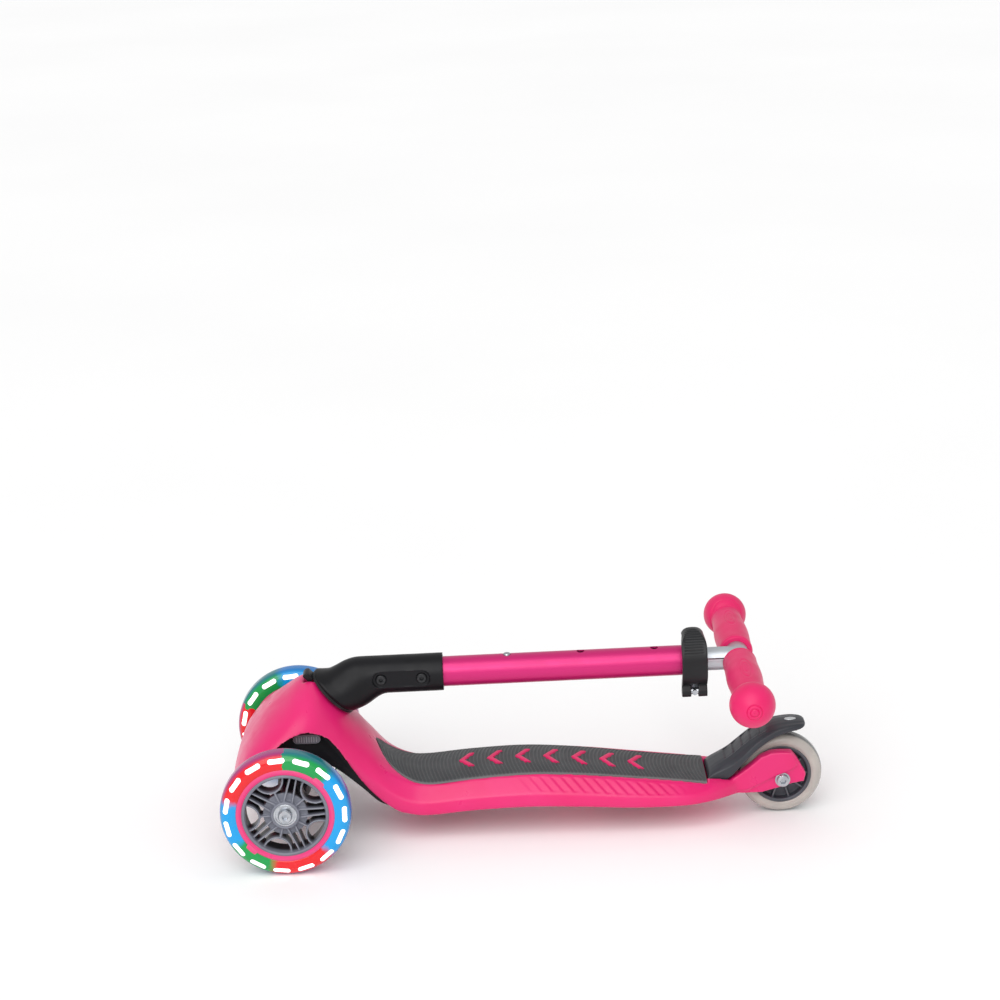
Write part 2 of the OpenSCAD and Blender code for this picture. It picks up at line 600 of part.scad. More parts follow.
module head_body() {
    hull() {
        fold_frame() rod_z(seat_r, -seat_drop + gap, -seat_drop + 10, $fn = 40);
        column_frame() rod_z(sleeve_r - 0.4, -2, 36, $fn = 40);
    }
    column_frame() {
        rod_z(sleeve_r, 20, sleeve_len - 1.5);
        translate([0, 0, sleeve_len - 1.5]) cylinder(r1 = sleeve_r, r2 = sleeve_r - 1.5, h = 1.5, $fn = 64);
    }
}

module fold_head() color(dark) difference() {
    head_body();
    fold_frame() {
        rod_z(pivot_d / 2 + run, -60, 0);
        rod_z(9.4, -8, 6);
    }
    column_frame() {
        rod_z(tube_r, 9, 200);
        for (s = [-1, 1]) rotate([90 * s, 0, 0]) {
            translate([0, -s * (HEAD_BOLTS[0] + HEAD_BOLTS[1]) / 2, recess_y])
                rotate([0, 0, 90]) stadium(HEAD_BOLTS[1] - HEAD_BOLTS[0] + 14, 14, 10);
        }
        for (z = HEAD_BOLTS) translate([0, 0, z]) {
            rod_y(2.5, -60, 60);
            rod_y(4.8, sleeve_r - 3.2, 60);
            rod_y(4.8, -60, -sleeve_r + 3.2);
        }
    }
}

module head_bolts() color("#3a3b3e") column_frame() for (z = HEAD_BOLTS) translate([0, 0, z])
    difference() {
        union() {
            rod_y(2.5, -sleeve_r + 1, sleeve_r - 2);
            rod_y(4.7, sleeve_r - 3.2, sleeve_r - 0.4);
        }
        translate([0, sleeve_r - 1.8, 0]) rotate([-90, 0, 0]) cylinder(d = 4.4, h = 6, $fn = 6);
    }
module head_nuts() color("#3a3b3e") column_frame() for (z = HEAD_BOLTS) translate([0, 0, z])
    difference() {
        rod_y(4.7, -sleeve_r + 0.4, -sleeve_r + 3.2);
        rod_y(2.5, -60, 60);
    }

module snap_holes(r, count) for (k = [0:count - 1])
    translate([0, 0, snap_at + k * hole_pitch]) rotate([0, 90, 0]) rod_z(r, 0, 60);

module outer_tube() color("#d61678") column_frame() difference() {
    ring_z(tube_r, tube_r - tube_wall, 9.5, clamp_at + collar_h / 2 - 1);
    for (z = HEAD_BOLTS) translate([0, 0, z]) rod_y(2.5, -60, 60);
    snap_holes(3.8, hole_count);
}

module tube_bush() color(dark) column_frame()
    ring_z(tube_r - tube_wall, inner_d / 2 + run, clamp_at - 18, clamp_at + collar_h / 2 - 1);

ear_x = -tube_r - 12.7;                // clamp bolt's distance from the column's middle
barrel_y = 12;
module clamp_collar() color(silver) column_frame() difference() {
    union() {
        ring_z(tube_r + 4, tube_r, clamp_at - collar_h / 2, clamp_at + collar_h / 2);
        for (s = [-1, 1]) translate([ear_x - 5.5, s > 0 ? 1.5 : -6, clamp_at - collar_h / 2])
            cube([5.5 - ear_x - tube_r - 1.5, 4.5, collar_h]);
    }
    translate([ear_x - 10, -1.5, clamp_at - 30]) cube([-ear_x, 3, 60]);
    translate([ear_x, 0, clamp_at]) rod_y(2.5, -60, 60);
}
module clamp_bolt() color(silver) column_frame() translate([ear_x, 0, clamp_at]) {
    rod_y(2.5, -10, barrel_y + 6);
    rod_y(4.6, -10, -6);
}
module clamp_barrel() color(silver) column_frame() difference() {
    translate([ear_x, barrel_y, 0]) rod_z(3.5, clamp_at - lever_w / 2 + 1, clamp_at + lever_w / 2 - 1);
    translate([ear_x, 0, clamp_at]) rod_y(2.5, -60, 60);
}

lever_r = tube_r + 8.2;                // inner radius of the lever's bow
lever_t = 6;                           // its thickness
lever_cx = 3.4;                         // its centre, beyond the column's middle
boss_r = 5.6;                          // the lever's eye round the barrel
function polar(c, r, a) = [c[0] + r * cos(a), c[1] + r * sin(a)];
LEVER_OUTLINE = let (c = [lever_cx, 0], eye = [ear_x, barrel_y + 0.6], end = 146,
        tip = polar(c, lever_r + lever_t / 2, -4))
    concat([for (a = [-4:8:end]) polar(c, lever_r + lever_t, a)],
        [for (a = [75:15:280]) polar(eye, boss_r, a)],
        [for (a = [end:-8:-4]) polar(c, lever_r, a)],
        [for (a = [190:20:340]) polar(tip, lever_t / 2 + 0.5, a)]);
module clamp_lever() color(dark) column_frame() translate([0, 0, clamp_at]) difference() {
    linear_extrude(lever_w, center = true) polygon(LEVER_OUTLINE);
    // the barrel's bore, the fork for the bolt, and room for the collar's ear
    translate([ear_x, barrel_y, 0]) rod_z(3.5 + run, -60, 60);
    translate([ear_x - 16, -40, -3.4]) cube([26, 80, 6.8]);
    translate([ear_x - 20, -20, -lever_w]) cube([31, 20 + 6 + 0.5, 2 * lever_w]);
}

// ---------- handlebar ----------

module inner_tube() color(silver) column_frame() difference() {
    ring_z(inner_d / 2, inner_d / 2 - inner_wall, sleeve_len + 2.5, bar_at);
    translate([0, 0, bar_at]) rod_y(inner_d / 2, -60, 60);
    snap_holes(3.4 + run, 1);
}
module crossbar() color(silver) column_frame() translate([0, 0, bar_at]) difference() {
    rod_y(inner_d / 2, -bar_w / 2 + 14, bar_w / 2 - 14);
    rod_y(inner_d / 2 - inner_wall, -bar_w, bar_w);
}

module grip(side) {
    end = bar_w / 2;
    start = bar_bare / 2;
    ball = ball_d / 2;
    neck = inner_d / 2 + 3.2;
    rotate([-90 * side, 0, 0]) rotate_extrude() difference() {
        union() {
            translate([0, start]) square([neck + 1.2, 3]);
            polygon(concat([[0, start]], spline([[neck + 0.8, start + 3], [neck + 1.6, start + 20],
                [neck + 2.4, start + 45], [neck + 0.4, end - ball - 24], [neck, end - ball - 16],
                [neck + 2, end - ball - 12]], 3), [[0, end - ball - 12]]));
            intersection() {
                translate([0, end - ball]) circle(r = ball, $fn = 72);
                translate([0, start]) square([60, 200]);
            }
        }
        square([inner_d / 2, end - 14]);
    }
}
module grip_left() color(pink) column_frame() translate([0, 0, bar_at]) grip(1);
module grip_right() color(pink) column_frame() translate([0, 0, bar_at]) grip(-1);

module snap_button() color(silver) column_frame() translate([0, 0, snap_at]) rotate([0, 90, 0]) {
    rod_z(3.4, inner_d / 2 - 6.5, tube_r + 0.2);
    translate([0, 0, tube_r + 0.2]) cylinder(r1 = 3.4, r2 = 2.2, h = 1.2);
}
module snap_spring() color(silver) column_frame() translate([0, 0, snap_at]) {
    for (k = [0:2]) translate([-4 + 2 * k, 0, 0]) rotate([0, 90, 0]) rotate_extrude($fn = 32)
        translate([3, 0]) circle(d = 1, $fn = 16);
    translate([-inner_d / 2 + inner_wall + 1.5, -3, -12]) cube([1, 6, 24]);
}

deck_shell();
deck_mat();
fold_seat();
fold_pivot_bolt();
fold_pivot_nut();
fold_lock_plunger();
fold_button_spring();
fold_release_button();
steering_base();
base_screws();
steering_kingpin();
kingpin_nut();
steering_springs();
steering_lock_button();
truck();
axle_bolt_left();
axle_bolt_right();
magnet_sleeve_left();
magnet_sleeve_right();
wheel_core_left();
wheel_core_right();
rim_band_left();
rim_band_right();
tyre_left();
tyre_right();
light_windows_left();
light_windows_right();
coil_ring_left();
coil_ring_right();
bearings_left();
bearings_right();
rear_wheel_core();
rear_tyre();
rear_bearings();
rear_spacers();
rear_axle_bolt();
rear_axle_nut();
brake_fender();
brake_badge();
brake_pin();
brake_spring();
fold_head();
head_bolts();
head_nuts();
outer_tube();
tube_bush();
clamp_collar();
clamp_bolt();
clamp_barrel();
clamp_lever();
inner_tube();
crossbar();
grip_left();
grip_right();
snap_button();
snap_spring();
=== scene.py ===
"""Looks of a folding three-wheeled kick scooter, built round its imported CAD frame.

Lengths are in millimetres of the scooter's own frame (+X forward, +Y to the left, +Z up)
until a mesh is made, which is in metres.
"""

import json
import logging
import math
from dataclasses import dataclass, field
from enum import Enum
from typing import Any, Callable, Iterable, Sequence

import bmesh
import bpy
import numpy as np
from mathutils import Matrix, Vector

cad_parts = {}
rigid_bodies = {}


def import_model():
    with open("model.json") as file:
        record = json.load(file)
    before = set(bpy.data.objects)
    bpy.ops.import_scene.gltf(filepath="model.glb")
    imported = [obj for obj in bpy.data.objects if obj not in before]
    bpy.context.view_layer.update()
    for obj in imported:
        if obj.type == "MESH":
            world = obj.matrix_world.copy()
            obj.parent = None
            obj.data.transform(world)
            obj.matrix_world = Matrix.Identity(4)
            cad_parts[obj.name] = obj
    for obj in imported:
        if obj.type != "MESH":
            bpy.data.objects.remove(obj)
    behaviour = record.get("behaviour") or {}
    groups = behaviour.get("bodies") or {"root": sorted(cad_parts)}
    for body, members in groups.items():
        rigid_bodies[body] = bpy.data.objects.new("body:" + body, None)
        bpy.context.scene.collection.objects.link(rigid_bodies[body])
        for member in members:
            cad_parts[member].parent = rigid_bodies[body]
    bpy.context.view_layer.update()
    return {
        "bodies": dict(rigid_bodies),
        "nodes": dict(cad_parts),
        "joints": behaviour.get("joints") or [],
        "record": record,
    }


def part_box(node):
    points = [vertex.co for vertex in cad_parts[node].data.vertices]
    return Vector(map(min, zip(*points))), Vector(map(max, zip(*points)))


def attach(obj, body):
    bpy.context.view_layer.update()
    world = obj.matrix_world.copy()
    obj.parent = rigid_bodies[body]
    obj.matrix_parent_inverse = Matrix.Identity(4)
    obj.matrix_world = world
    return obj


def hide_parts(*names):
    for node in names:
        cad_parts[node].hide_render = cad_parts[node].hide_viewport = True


MM = 0.001
LOG = logging.getLogger("scooter")
Material = bpy.types.Material
Object = bpy.types.Object
Array = np.ndarray


# ---------- finishes ----------

def linear(colour: str) -> tuple[float, float, float, float]:
    """Turns an sRGB hex colour into linear RGBA.

    Args:
        colour: a hex colour such as #ee3a80.

    Returns:
        Red, green, blue and an alpha of 1, linear.
    """
    parts = [int(colour[i:i + 2], 16) / 255 for i in (1, 3, 5)]
    return (*(c / 12.92 if c <= 0.04045 else ((c + 0.055) / 1.055) ** 2.4 for c in parts), 1.0)


def add(tree: bpy.types.NodeTree, kind: str, inputs: dict[Any, Any] | None = None,
        **settings: Any) -> bpy.types.Node:
    """Adds a node with its settings, values and links.

    Args:
        tree: the node tree.
        kind: the node's type name, without the ShaderNode in front.
        inputs: a value, or a socket to link from, for each input by name or number.
        settings: the node's own properties.

    Returns:
        The new node.
    """
    made = tree.nodes.new("ShaderNode" + kind)
    for key, value in settings.items():
        setattr(made, key, value)
    for key, value in (inputs or {}).items():
        if isinstance(value, bpy.types.NodeSocket):
            tree.links.new(value, made.inputs[key])
        else:
            made.inputs[key].default_value = value
    return made


@dataclass(frozen=True)
class Finish:
    """A surface made of one real material, with a fine grain and a slow drift of shade."""

    name: str
    colour: str
    shade: str
    roughness: float = 0.4
    metallic: float = 0.0
    ior: float = 1.5
    coat: float = 0.0
    coat_roughness: float = 0.1
    sheen: float = 0.0
    grain_mm: float = 0.6
    grain_depth_mm: float = 0.02
    drift_mm: float = 60.0
    # How far sharp edges are mixed toward white: part wear, part painted highlight.
    edge_wear_and_painted_highlight: float = 0.12
    specular: float = 0.4

    def noise(self, tree: bpy.types.NodeTree, size_mm: float, detail: float = 3.0) -> Any:
        """Adds a noise whose lumps are about size_mm across, and returns its value."""
        place = add(tree, "TexCoord").outputs["Object"]
        return add(tree, "TexNoise", {"Vector": place, "Scale": 1 / (size_mm * MM),
                                      "Detail": detail}).outputs["Fac"]

    def tint(self, tree: bpy.types.NodeTree) -> Any:
        """Returns the colour's socket: the two shades, and a little lighter along edges, part wear
        and part painted highlight.
        """
        drift = add(tree, "MapRange", {0: self.noise(tree, self.drift_mm), 1: 0.35, 2: 0.65})
        mixed = add(tree, "Mix", {0: drift.outputs[0], 6: linear(self.colour),
                                  7: linear(self.shade)}, data_type="RGBA")
        # Painted highlight and wear: edges found by pointiness are mixed toward white.
        edges = add(tree, "NewGeometry").outputs["Pointiness"]
        wear_plus_painted_highlight = add(tree, "MapRange", {0: edges, 1: 0.52, 2: 0.62, 3: 0.0, 4: self.edge_wear_and_painted_highlight})
        return add(tree, "Mix", {0: wear_plus_painted_highlight.outputs[0], 6: mixed.outputs[2], 7: (1, 1, 1, 1)},
                   data_type="RGBA").outputs[2]

    def relief(self, tree: bpy.types.NodeTree) -> Any:
        """Returns the socket of the surface's height, from 0 to 1."""
        return self.noise(tree, self.grain_mm, 2.0)

    def polish(self, tree: bpy.types.NodeTree) -> Any:
        """Returns the roughness socket: hands and moulds leave soft glossier patches."""
        patches = self.noise(tree, 14.0, 4.0)
        spread = 0.07
        return add(tree, "MapRange", {0: patches, 1: 0.3, 2: 0.7, 3: self.roughness - spread,
                                      4: self.roughness + spread}).outputs[0]

    def shade_surface(self, tree: bpy.types.NodeTree, shader: bpy.types.Node) -> None:
        """Sets what this finish alone needs on the shader."""

    def build(self) -> Material:
        """Makes the Blender material, once, and returns it."""
        known = bpy.data.materials.get(self.name)
        if known:
            return known
        made = bpy.data.materials.new(self.name)
        made.use_nodes = True
        tree = made.node_tree
        tree.nodes.clear()
        bump = add(tree, "Bump", {"Height": self.relief(tree), "Strength": 0.6,
                                  "Distance": self.grain_depth_mm * MM})
        shader = add(tree, "BsdfPrincipled", {
            "Base Color": self.tint(tree), "Roughness": self.polish(tree),
            "Metallic": self.metallic, "IOR": self.ior, "Coat Weight": self.coat,
            "Coat Roughness": self.coat_roughness, "Sheen Weight": self.sheen,
            "Specular IOR Level": self.specular,
            "Normal": bump.outputs[0]})
        self.shade_surface(tree, shader)
        add(tree, "OutputMaterial", {"Surface": shader.outputs[0]})
        made.diffuse_color = linear(self.colour)
        return made


@dataclass(frozen=True)
class BrushedMetal(Finish):
    """Metal finished with a belt, whose fine scratches run round or along the piece."""

    stretch: tuple[float, float, float] = (1.0, 1.0, 1.0)
    scratch_mm: float = 0.5

    def relief(self, tree: bpy.types.NodeTree) -> Any:
        """Returns the height of the scratches, which are stretched noise."""
        place = add(tree, "TexCoord").outputs["Object"]
        drawn = add(tree, "Mapping", {"Vector": place, "Scale": self.stretch})
        return add(tree, "TexNoise", {"Vector": drawn.outputs[0], "Detail": 3.0,
                                      "Scale": 1 / (self.scratch_mm * MM)}).outputs["Fac"]


@dataclass(frozen=True)
class FlakeLacquer(Finish):
    """Coloured lacquer over metal flake, under a clear coat: it sparkles finely."""

    flake_mm: float = 0.7

    def tint(self, tree: bpy.types.NodeTree) -> Any:
        """Returns the lacquer's colour, with flakes a little lighter than the rest."""
        place = add(tree, "TexCoord").outputs["Object"]
        flakes = add(tree, "TexVoronoi", {"Vector": place, "Scale": 1 / (self.flake_mm * MM)})
        share = add(tree, "MapRange", {0: flakes.outputs["Distance"], 1: 0.1, 2: 0.8,
                                       3: 0.35, 4: 0.0})
        return add(tree, "Mix", {0: share.outputs[0], 6: linear(self.colour),
                                 7: linear(self.shade)}, data_type="RGBA").outputs[2]


@dataclass(frozen=True)
class DishedNylon(Finish):
    """Nylon of a wheel's core, with painted shade: full colour on its outer face, darkening down in
    its openings.
    """

    face_mm: float = 115.0
    side: float = 1.0
    # Colour of the painted shade deep in the openings.
    deep: str = "#1b1b20"

    def tint(self, tree: bpy.types.NodeTree) -> Any:
        """Returns the colour with painted shade: darker by the depth below the core's outer face.
        """
        place = add(tree, "TexCoord").outputs["Object"]
        axes = add(tree, "SeparateXYZ", {0: place})
        out = add(tree, "Math", {0: axes.outputs[1], 1: self.side}, operation="MULTIPLY")
        # Painted shade: from 2.2 mm to 7 mm below the outer face the colour goes to the deep shade
        # colour.
        level = add(tree, "MapRange", {0: out.outputs[0], 1: (self.face_mm - 7.0) * MM,
                                       2: (self.face_mm - 2.2) * MM, 3: 1.0, 4: 0.0})
        return add(tree, "Mix", {0: level.outputs[0], 6: Finish.tint(self, tree),
                                 7: linear(self.deep)}, data_type="RGBA").outputs[2]


@dataclass(frozen=True)
class LitPolyurethane(Finish):
    """Cast polyurethane lit from inside: each lamp colours its own stretch of the tyre."""

    centre_mm: tuple[float, float, float] = (0.0, 0.0, 0.0)
    turn_deg: float = 0.0
    dark_from_mm: float = 57.6

    def tint(self, tree: bpy.types.NodeTree) -> Any:
        """Returns the colour by the angle round the axle, darker at the thin outer edge."""
        place = add(tree, "TexCoord").outputs["Object"]
        offset = add(tree, "VectorMath", {0: place, 1: tuple(c * MM for c in self.centre_mm)},
                     operation="SUBTRACT")
        axes = add(tree, "SeparateXYZ", {0: offset.outputs[0]})
        wobble = add(tree, "MapRange", {0: self.noise(tree, 9.0), 3: -0.12, 4: 0.12})
        forward = add(tree, "Math", {0: axes.outputs[0], 1: -1.0}, operation="MULTIPLY")
        angle = add(tree, "Math", {0: forward.outputs[0], 1: axes.outputs[2]},
                    operation="ARCTAN2")
        ragged = add(tree, "Math", {0: angle.outputs[0], 1: wobble.outputs[0]}, operation="ADD")
        turned = add(tree, "Math", {0: ragged.outputs[0], 1: -math.radians(self.turn_deg)},
                     operation="ADD")
        whole = add(tree, "Math", {0: turned.outputs[0], 1: math.tau}, operation="DIVIDE")
        share = add(tree, "Math", {0: whole.outputs[0], 1: 1.0}, operation="FLOORED_MODULO")
        lamps = self.lamp_ramp(tree, share.outputs[0])
        flat = add(tree, "CombineXYZ", {0: axes.outputs[0], 1: 0.0, 2: axes.outputs[2]})
        radius = add(tree, "VectorMath", {0: flat.outputs[0]}, operation="LENGTH")
        edge = add(tree, "MapRange", {0: radius.outputs["Value"], 1: self.dark_from_mm * MM,
                                      2: (self.dark_from_mm + 2.4) * MM, 3: 0.0, 4: 0.55})
        return add(tree, "Mix", {0: edge.outputs[0], 6: lamps, 7: linear(self.shade)},
                   data_type="RGBA").outputs[2]

    def lamp_ramp(self, tree: bpy.types.NodeTree, share: Any) -> Any:
        """Returns the lamp's colour for a share of the turn, with short soft changes."""
        green, blue, red = "#008f42", "#0093d4", "#d6101a"
        stops = [(0.0, green), (0.122, green), (0.142, blue), (0.36, blue), (0.382, red),
                 (0.53, red), (0.552, green), (0.655, green), (0.675, blue), (0.78, blue),
                 (0.802, red), (0.982, red)]
        ramp = add(tree, "ValToRGB", {0: share})
        points = ramp.color_ramp.elements
        points[0].position, points[0].color = stops[0][0], linear(stops[0][1])
        points[1].position, points[1].color = stops[-1][0], linear(stops[-1][1])
        for position, colour in stops[1:-1]:
            points.new(position).color = linear(colour)
        return ramp.outputs[0]

    def shade_surface(self, tree: bpy.types.NodeTree, shader: bpy.types.Node) -> None:
        """Lets the lamps' light come out of the tyre."""
        source = shader.inputs["Base Color"].links[0].from_socket
        tree.links.new(source, shader.inputs["Emission Color"])
        shader.inputs["Emission Strength"].default_value = 0.12


@dataclass(frozen=True)
class Lamp(Finish):
    """A frosted window in front of a lamp."""

    strength: float = 0.75

    def shade_surface(self, tree: bpy.types.NodeTree, shader: bpy.types.Node) -> None:
        """Makes the window glow."""
        source = shader.inputs["Base Color"].links[0].from_socket
        tree.links.new(source, shader.inputs["Emission Color"])
        shader.inputs["Emission Strength"].default_value = self.strength


@dataclass(frozen=True)
class ClearPolyurethane(Finish):
    """Milky cast polyurethane: light goes some way in, so it looks deep."""

    dark_from_mm: float = 38.6
    centre_mm: tuple[float, float, float] = (0.0, 0.0, 0.0)

    def tint(self, tree: bpy.types.NodeTree) -> Any:
        """Returns a milky tone, greyer on a thin band at the outer edge of the tread."""
        place = add(tree, "TexCoord").outputs["Object"]
        offset = add(tree, "VectorMath", {0: place, 1: tuple(c * MM for c in self.centre_mm)},
                     operation="SUBTRACT")
        axes = add(tree, "SeparateXYZ", {0: offset.outputs[0]})
        flat = add(tree, "CombineXYZ", {0: axes.outputs[0], 1: 0.0, 2: axes.outputs[2]})
        radius = add(tree, "VectorMath", {0: flat.outputs[0]}, operation="LENGTH")
        outer_grey_band = add(tree, "MapRange", {0: radius.outputs["Value"], 1: self.dark_from_mm * MM,
                                      2: (self.dark_from_mm + 0.9) * MM, 3: 0.0, 4: 0.85})
        base = Finish.tint(self, tree)
        return add(tree, "Mix", {0: outer_grey_band.outputs[0], 6: base, 7: linear("#5f6164")},
                   data_type="RGBA").outputs[2]

    def shade_surface(self, tree: bpy.types.NodeTree, shader: bpy.types.Node) -> None:
        """Adds the light that wanders under the surface."""
        shader.inputs["Subsurface Weight"].default_value = 0.6
        shader.inputs["Subsurface Radius"].default_value = (1.0, 0.95, 0.9)
        shader.inputs["Subsurface Scale"].default_value = 0.004


@dataclass(frozen=True)
class WoundCopper(Finish):
    """Enamelled copper wire: its turns show as fine round ridges along the axle."""

    wire_mm: float = 0.4

    def relief(self, tree: bpy.types.NodeTree) -> Any:
        """Returns the height of the turns."""
        place = add(tree, "TexCoord").outputs["Object"]
        turns = add(tree, "TexWave", {"Vector": place, "Scale": 1 / (self.wire_mm * MM * math.tau)},
                    bands_direction="Y")
        return turns.outputs["Fac"]


# Injection-moulded polypropylene, pink: satin with a soft broad highlight.
PINK_PLASTIC = Finish("polypropylene_pink", "#dc1a68", "#df2270", 0.34, coat=0.1,
                      coat_roughness=0.3, grain_mm=0.5, grain_depth_mm=0.012, edge_wear_and_painted_highlight=0.1)
# The same, on the flat bands round the front rims.
PINK_BAND = Finish("polypropylene_rim_band", "#dd2170", "#df2c77", 0.34, coat=0.1)
# Thermoplastic rubber, pink: matt and a little velvety, from a sand-blasted mould.
PINK_RUBBER = Finish("thermoplastic_rubber_pink", "#de1865", "#d9155e", 0.46, sheen=0.04,
                     grain_mm=0.8, grain_depth_mm=0.03, drift_mm=30, edge_wear_and_painted_highlight=0.0)
# Metallic pink lacquer on an aluminium tube, under clear coat.
PINK_LACQUER = FlakeLacquer("flake_lacquer_magenta", "#c8046a", "#dc2c84", 0.42, metallic=0.5,
                            coat=0.5, coat_roughness=0.28, grain_mm=1.5, grain_depth_mm=0.002,
                            flake_mm=0.3)
# Thermoplastic rubber, charcoal: dull, with dust in its grain.
MAT_RUBBER = Finish("thermoplastic_rubber_charcoal", "#434648", "#3b3d3f", 0.62, sheen=0.1,
                    grain_mm=0.7, grain_depth_mm=0.05, drift_mm=25, edge_wear_and_painted_highlight=0.22, specular=0.25)
# Glass-filled nylon, black: fine satin, edges catch the light.
BLACK_NYLON = Finish("glass_filled_nylon_black", "#0b0b0e", "#101014", 0.4, grain_mm=0.5,
                     grain_depth_mm=0.02, edge_wear_and_painted_highlight=0.015, specular=0.22)
# Satin black ABS of the clamp's lever, a little lighter than the nylon.
BLACK_ABS = Finish("abs_black", "#151618", "#1b1c1f", 0.36, grain_mm=0.4, grain_depth_mm=0.012,
                   edge_wear_and_painted_highlight=0.05, specular=0.3)
# Slate grey polypropylene of the brake fender.
SLATE_PLASTIC = Finish("polypropylene_slate", "#303238", "#373a40", 0.38, grain_mm=0.6,
                       grain_depth_mm=0.02, edge_wear_and_painted_highlight=0.14, specular=0.35)
# Darker grey nylon of the rear core.
DARK_NYLON = Finish("nylon_dark_grey", "#4b4e56", "#42454d", 0.42, grain_mm=0.5,
                    grain_depth_mm=0.02, drift_mm=20, edge_wear_and_painted_highlight=0.25)
# Grey ribbed lock button.
BUTTON_NYLON = Finish("nylon_button_grey", "#66646d", "#5a5861", 0.4, grain_mm=0.4,
                      edge_wear_and_painted_highlight=0.3)
# Clear anodised aluminium tube, brushed along its length.
ALUMINIUM = BrushedMetal("anodised_aluminium", "#b9bfc5", "#c8cdd2", 0.42, metallic=0.85,
                         stretch=(0.05, 1.0, 1.0), scratch_mm=0.9, grain_depth_mm=0.002,
                         edge_wear_and_painted_highlight=0.0)
# The same, turned: its scratches run round the crossbar.
ALUMINIUM_BAR = BrushedMetal("anodised_aluminium_bar", "#b9bfc5", "#c8cdd2", 0.42,
                             metallic=0.85, stretch=(1.0, 0.05, 1.0), scratch_mm=0.9,
                             grain_depth_mm=0.002, edge_wear_and_painted_highlight=0.0)
# Zinc-plated steel of bolts, nuts, springs and bearings: bright, with a faint bloom.
ZINC_STEEL = BrushedMetal("zinc_plated_steel", "#c3c6cb", "#a5a9b0", 0.24, metallic=1.0,
                          scratch_mm=0.3, grain_depth_mm=0.008, drift_mm=6, edge_wear_and_painted_highlight=0.1)
# Blackened steel of the head's bolts.
BLACK_STEEL = BrushedMetal("black_oxide_steel", "#131417", "#1d1e22", 0.36, metallic=0.2,
                           scratch_mm=0.4, grain_depth_mm=0.01, drift_mm=5, edge_wear_and_painted_highlight=0.015)
# White windows in front of the lamps.
LAMP_WINDOW = Lamp("frosted_lamp_window", "#f4f8fb", "#ffffff", 0.3, edge_wear_and_painted_highlight=0.0)
# Enamelled copper wire of the windings in the front hubs.
COPPER = WoundCopper("enamelled_copper_wire", "#b06a35", "#9c5527", 0.3, metallic=1.0,
                     grain_depth_mm=0.12)
# Satin nickel badge.
BADGE = BrushedMetal("satin_nickel", "#cfd3d6", "#e2e5e7", 0.3, metallic=0.8,
                     scratch_mm=0.3, grain_depth_mm=0.006, edge_wear_and_painted_highlight=0.0)
# Pale seamless studio floor: painted board, so even that it only takes soft shadows.
FLOOR_PAINT = Finish("matt_floor_paint", "#fefefe", "#fcfcfc", 0.8, grain_mm=3.0,
                     grain_depth_mm=0.02, drift_mm=900, edge_wear_and_painted_highlight=0.0)


class Slot(Enum):
    """The record's material slots."""

    PINK_PLASTIC = "pink_plastic"
    PINK_RUBBER = "pink_rubber"
    PINK_METAL = "pink_metal"
    MAT = "mat_rubber"
    BLACK = "black_plastic"
    GREY = "grey_plastic"
    CORE = "core_plastic"
    ALUMINIUM = "aluminium"
    STEEL = "steel"
    LIT_TYRE = "lit_tyre"
    WINDOW = "light_window"
    CLEAR_TYRE = "clear_tyre"
    BADGE = "badge"


# ---------- places, curves and meshes ----------

def unit(v: Sequence[float]) -> Array:
    """Returns v at length 1."""
    v = np.asarray(v, float)
    return v / np.linalg.norm(v)


@dataclass(frozen=True)
class Place:
    """A local frame: its origin in millimetres, and the way its Z and X axes point."""

    origin: tuple[float, ...]
    z: tuple[float, ...]
    x: tuple[float, ...]

    def out(self, points: Array) -> Array:
        """Turns local points into the scooter's frame."""
        p = np.asarray(points, float)
        z, x = unit(self.z), unit(self.x)
        return np.asarray(self.origin) + p @ np.array([x, np.cross(z, x), z])

    def back(self, points: Array) -> Array:
        """Turns points of the scooter's frame into local ones."""
        z, x = unit(self.z), unit(self.x)
        return (np.asarray(points) - np.asarray(self.origin)) @ np.array([x, np.cross(z, x), z]).T


WORLD = Place((0, 0, 0), (0, 0, 1), (1, 0, 0))


def spline(keys: Sequence[Sequence[float]], steps: int) -> Array:
    """A smooth curve through all keys.

    Args:
        keys: the points that it passes, of any dimension.
        steps: how many points it has from each key to the next.

    Returns:
        The curve's points.
    """
    k = np.asarray(keys, float)
    k = np.vstack([k[0], k, k[-1]])
    t = (np.arange(steps) / steps)[:, None]
    spans = [0.5 * (2 * b + (c - a) * t + (2 * a - 5 * b + 4 * c - d) * t ** 2
                    + (3 * b - a - 3 * c + d) * t ** 3)
             for a, b, c, d in zip(k, k[1:], k[2:], k[3:])]
    return np.vstack([*spans, k[-1]])


def arc(cx: float, cy: float, r: float, start: float, end: float, count: int) -> list[list[float]]:
    """Points on an arc about (cx, cy), from one angle in degrees to another."""
    return [[cx + r * math.cos(math.radians(a)), cy + r * math.sin(math.radians(a))]
            for a in np.linspace(start, end, count)]


def smoothstep(low: float, high: float, v: Array) -> Array:
    """0 below low, 1 above high and a smooth rise between them."""
    t = np.clip((v - low) / (high - low), 0, 1)
    return t * t * (3 - 2 * t)


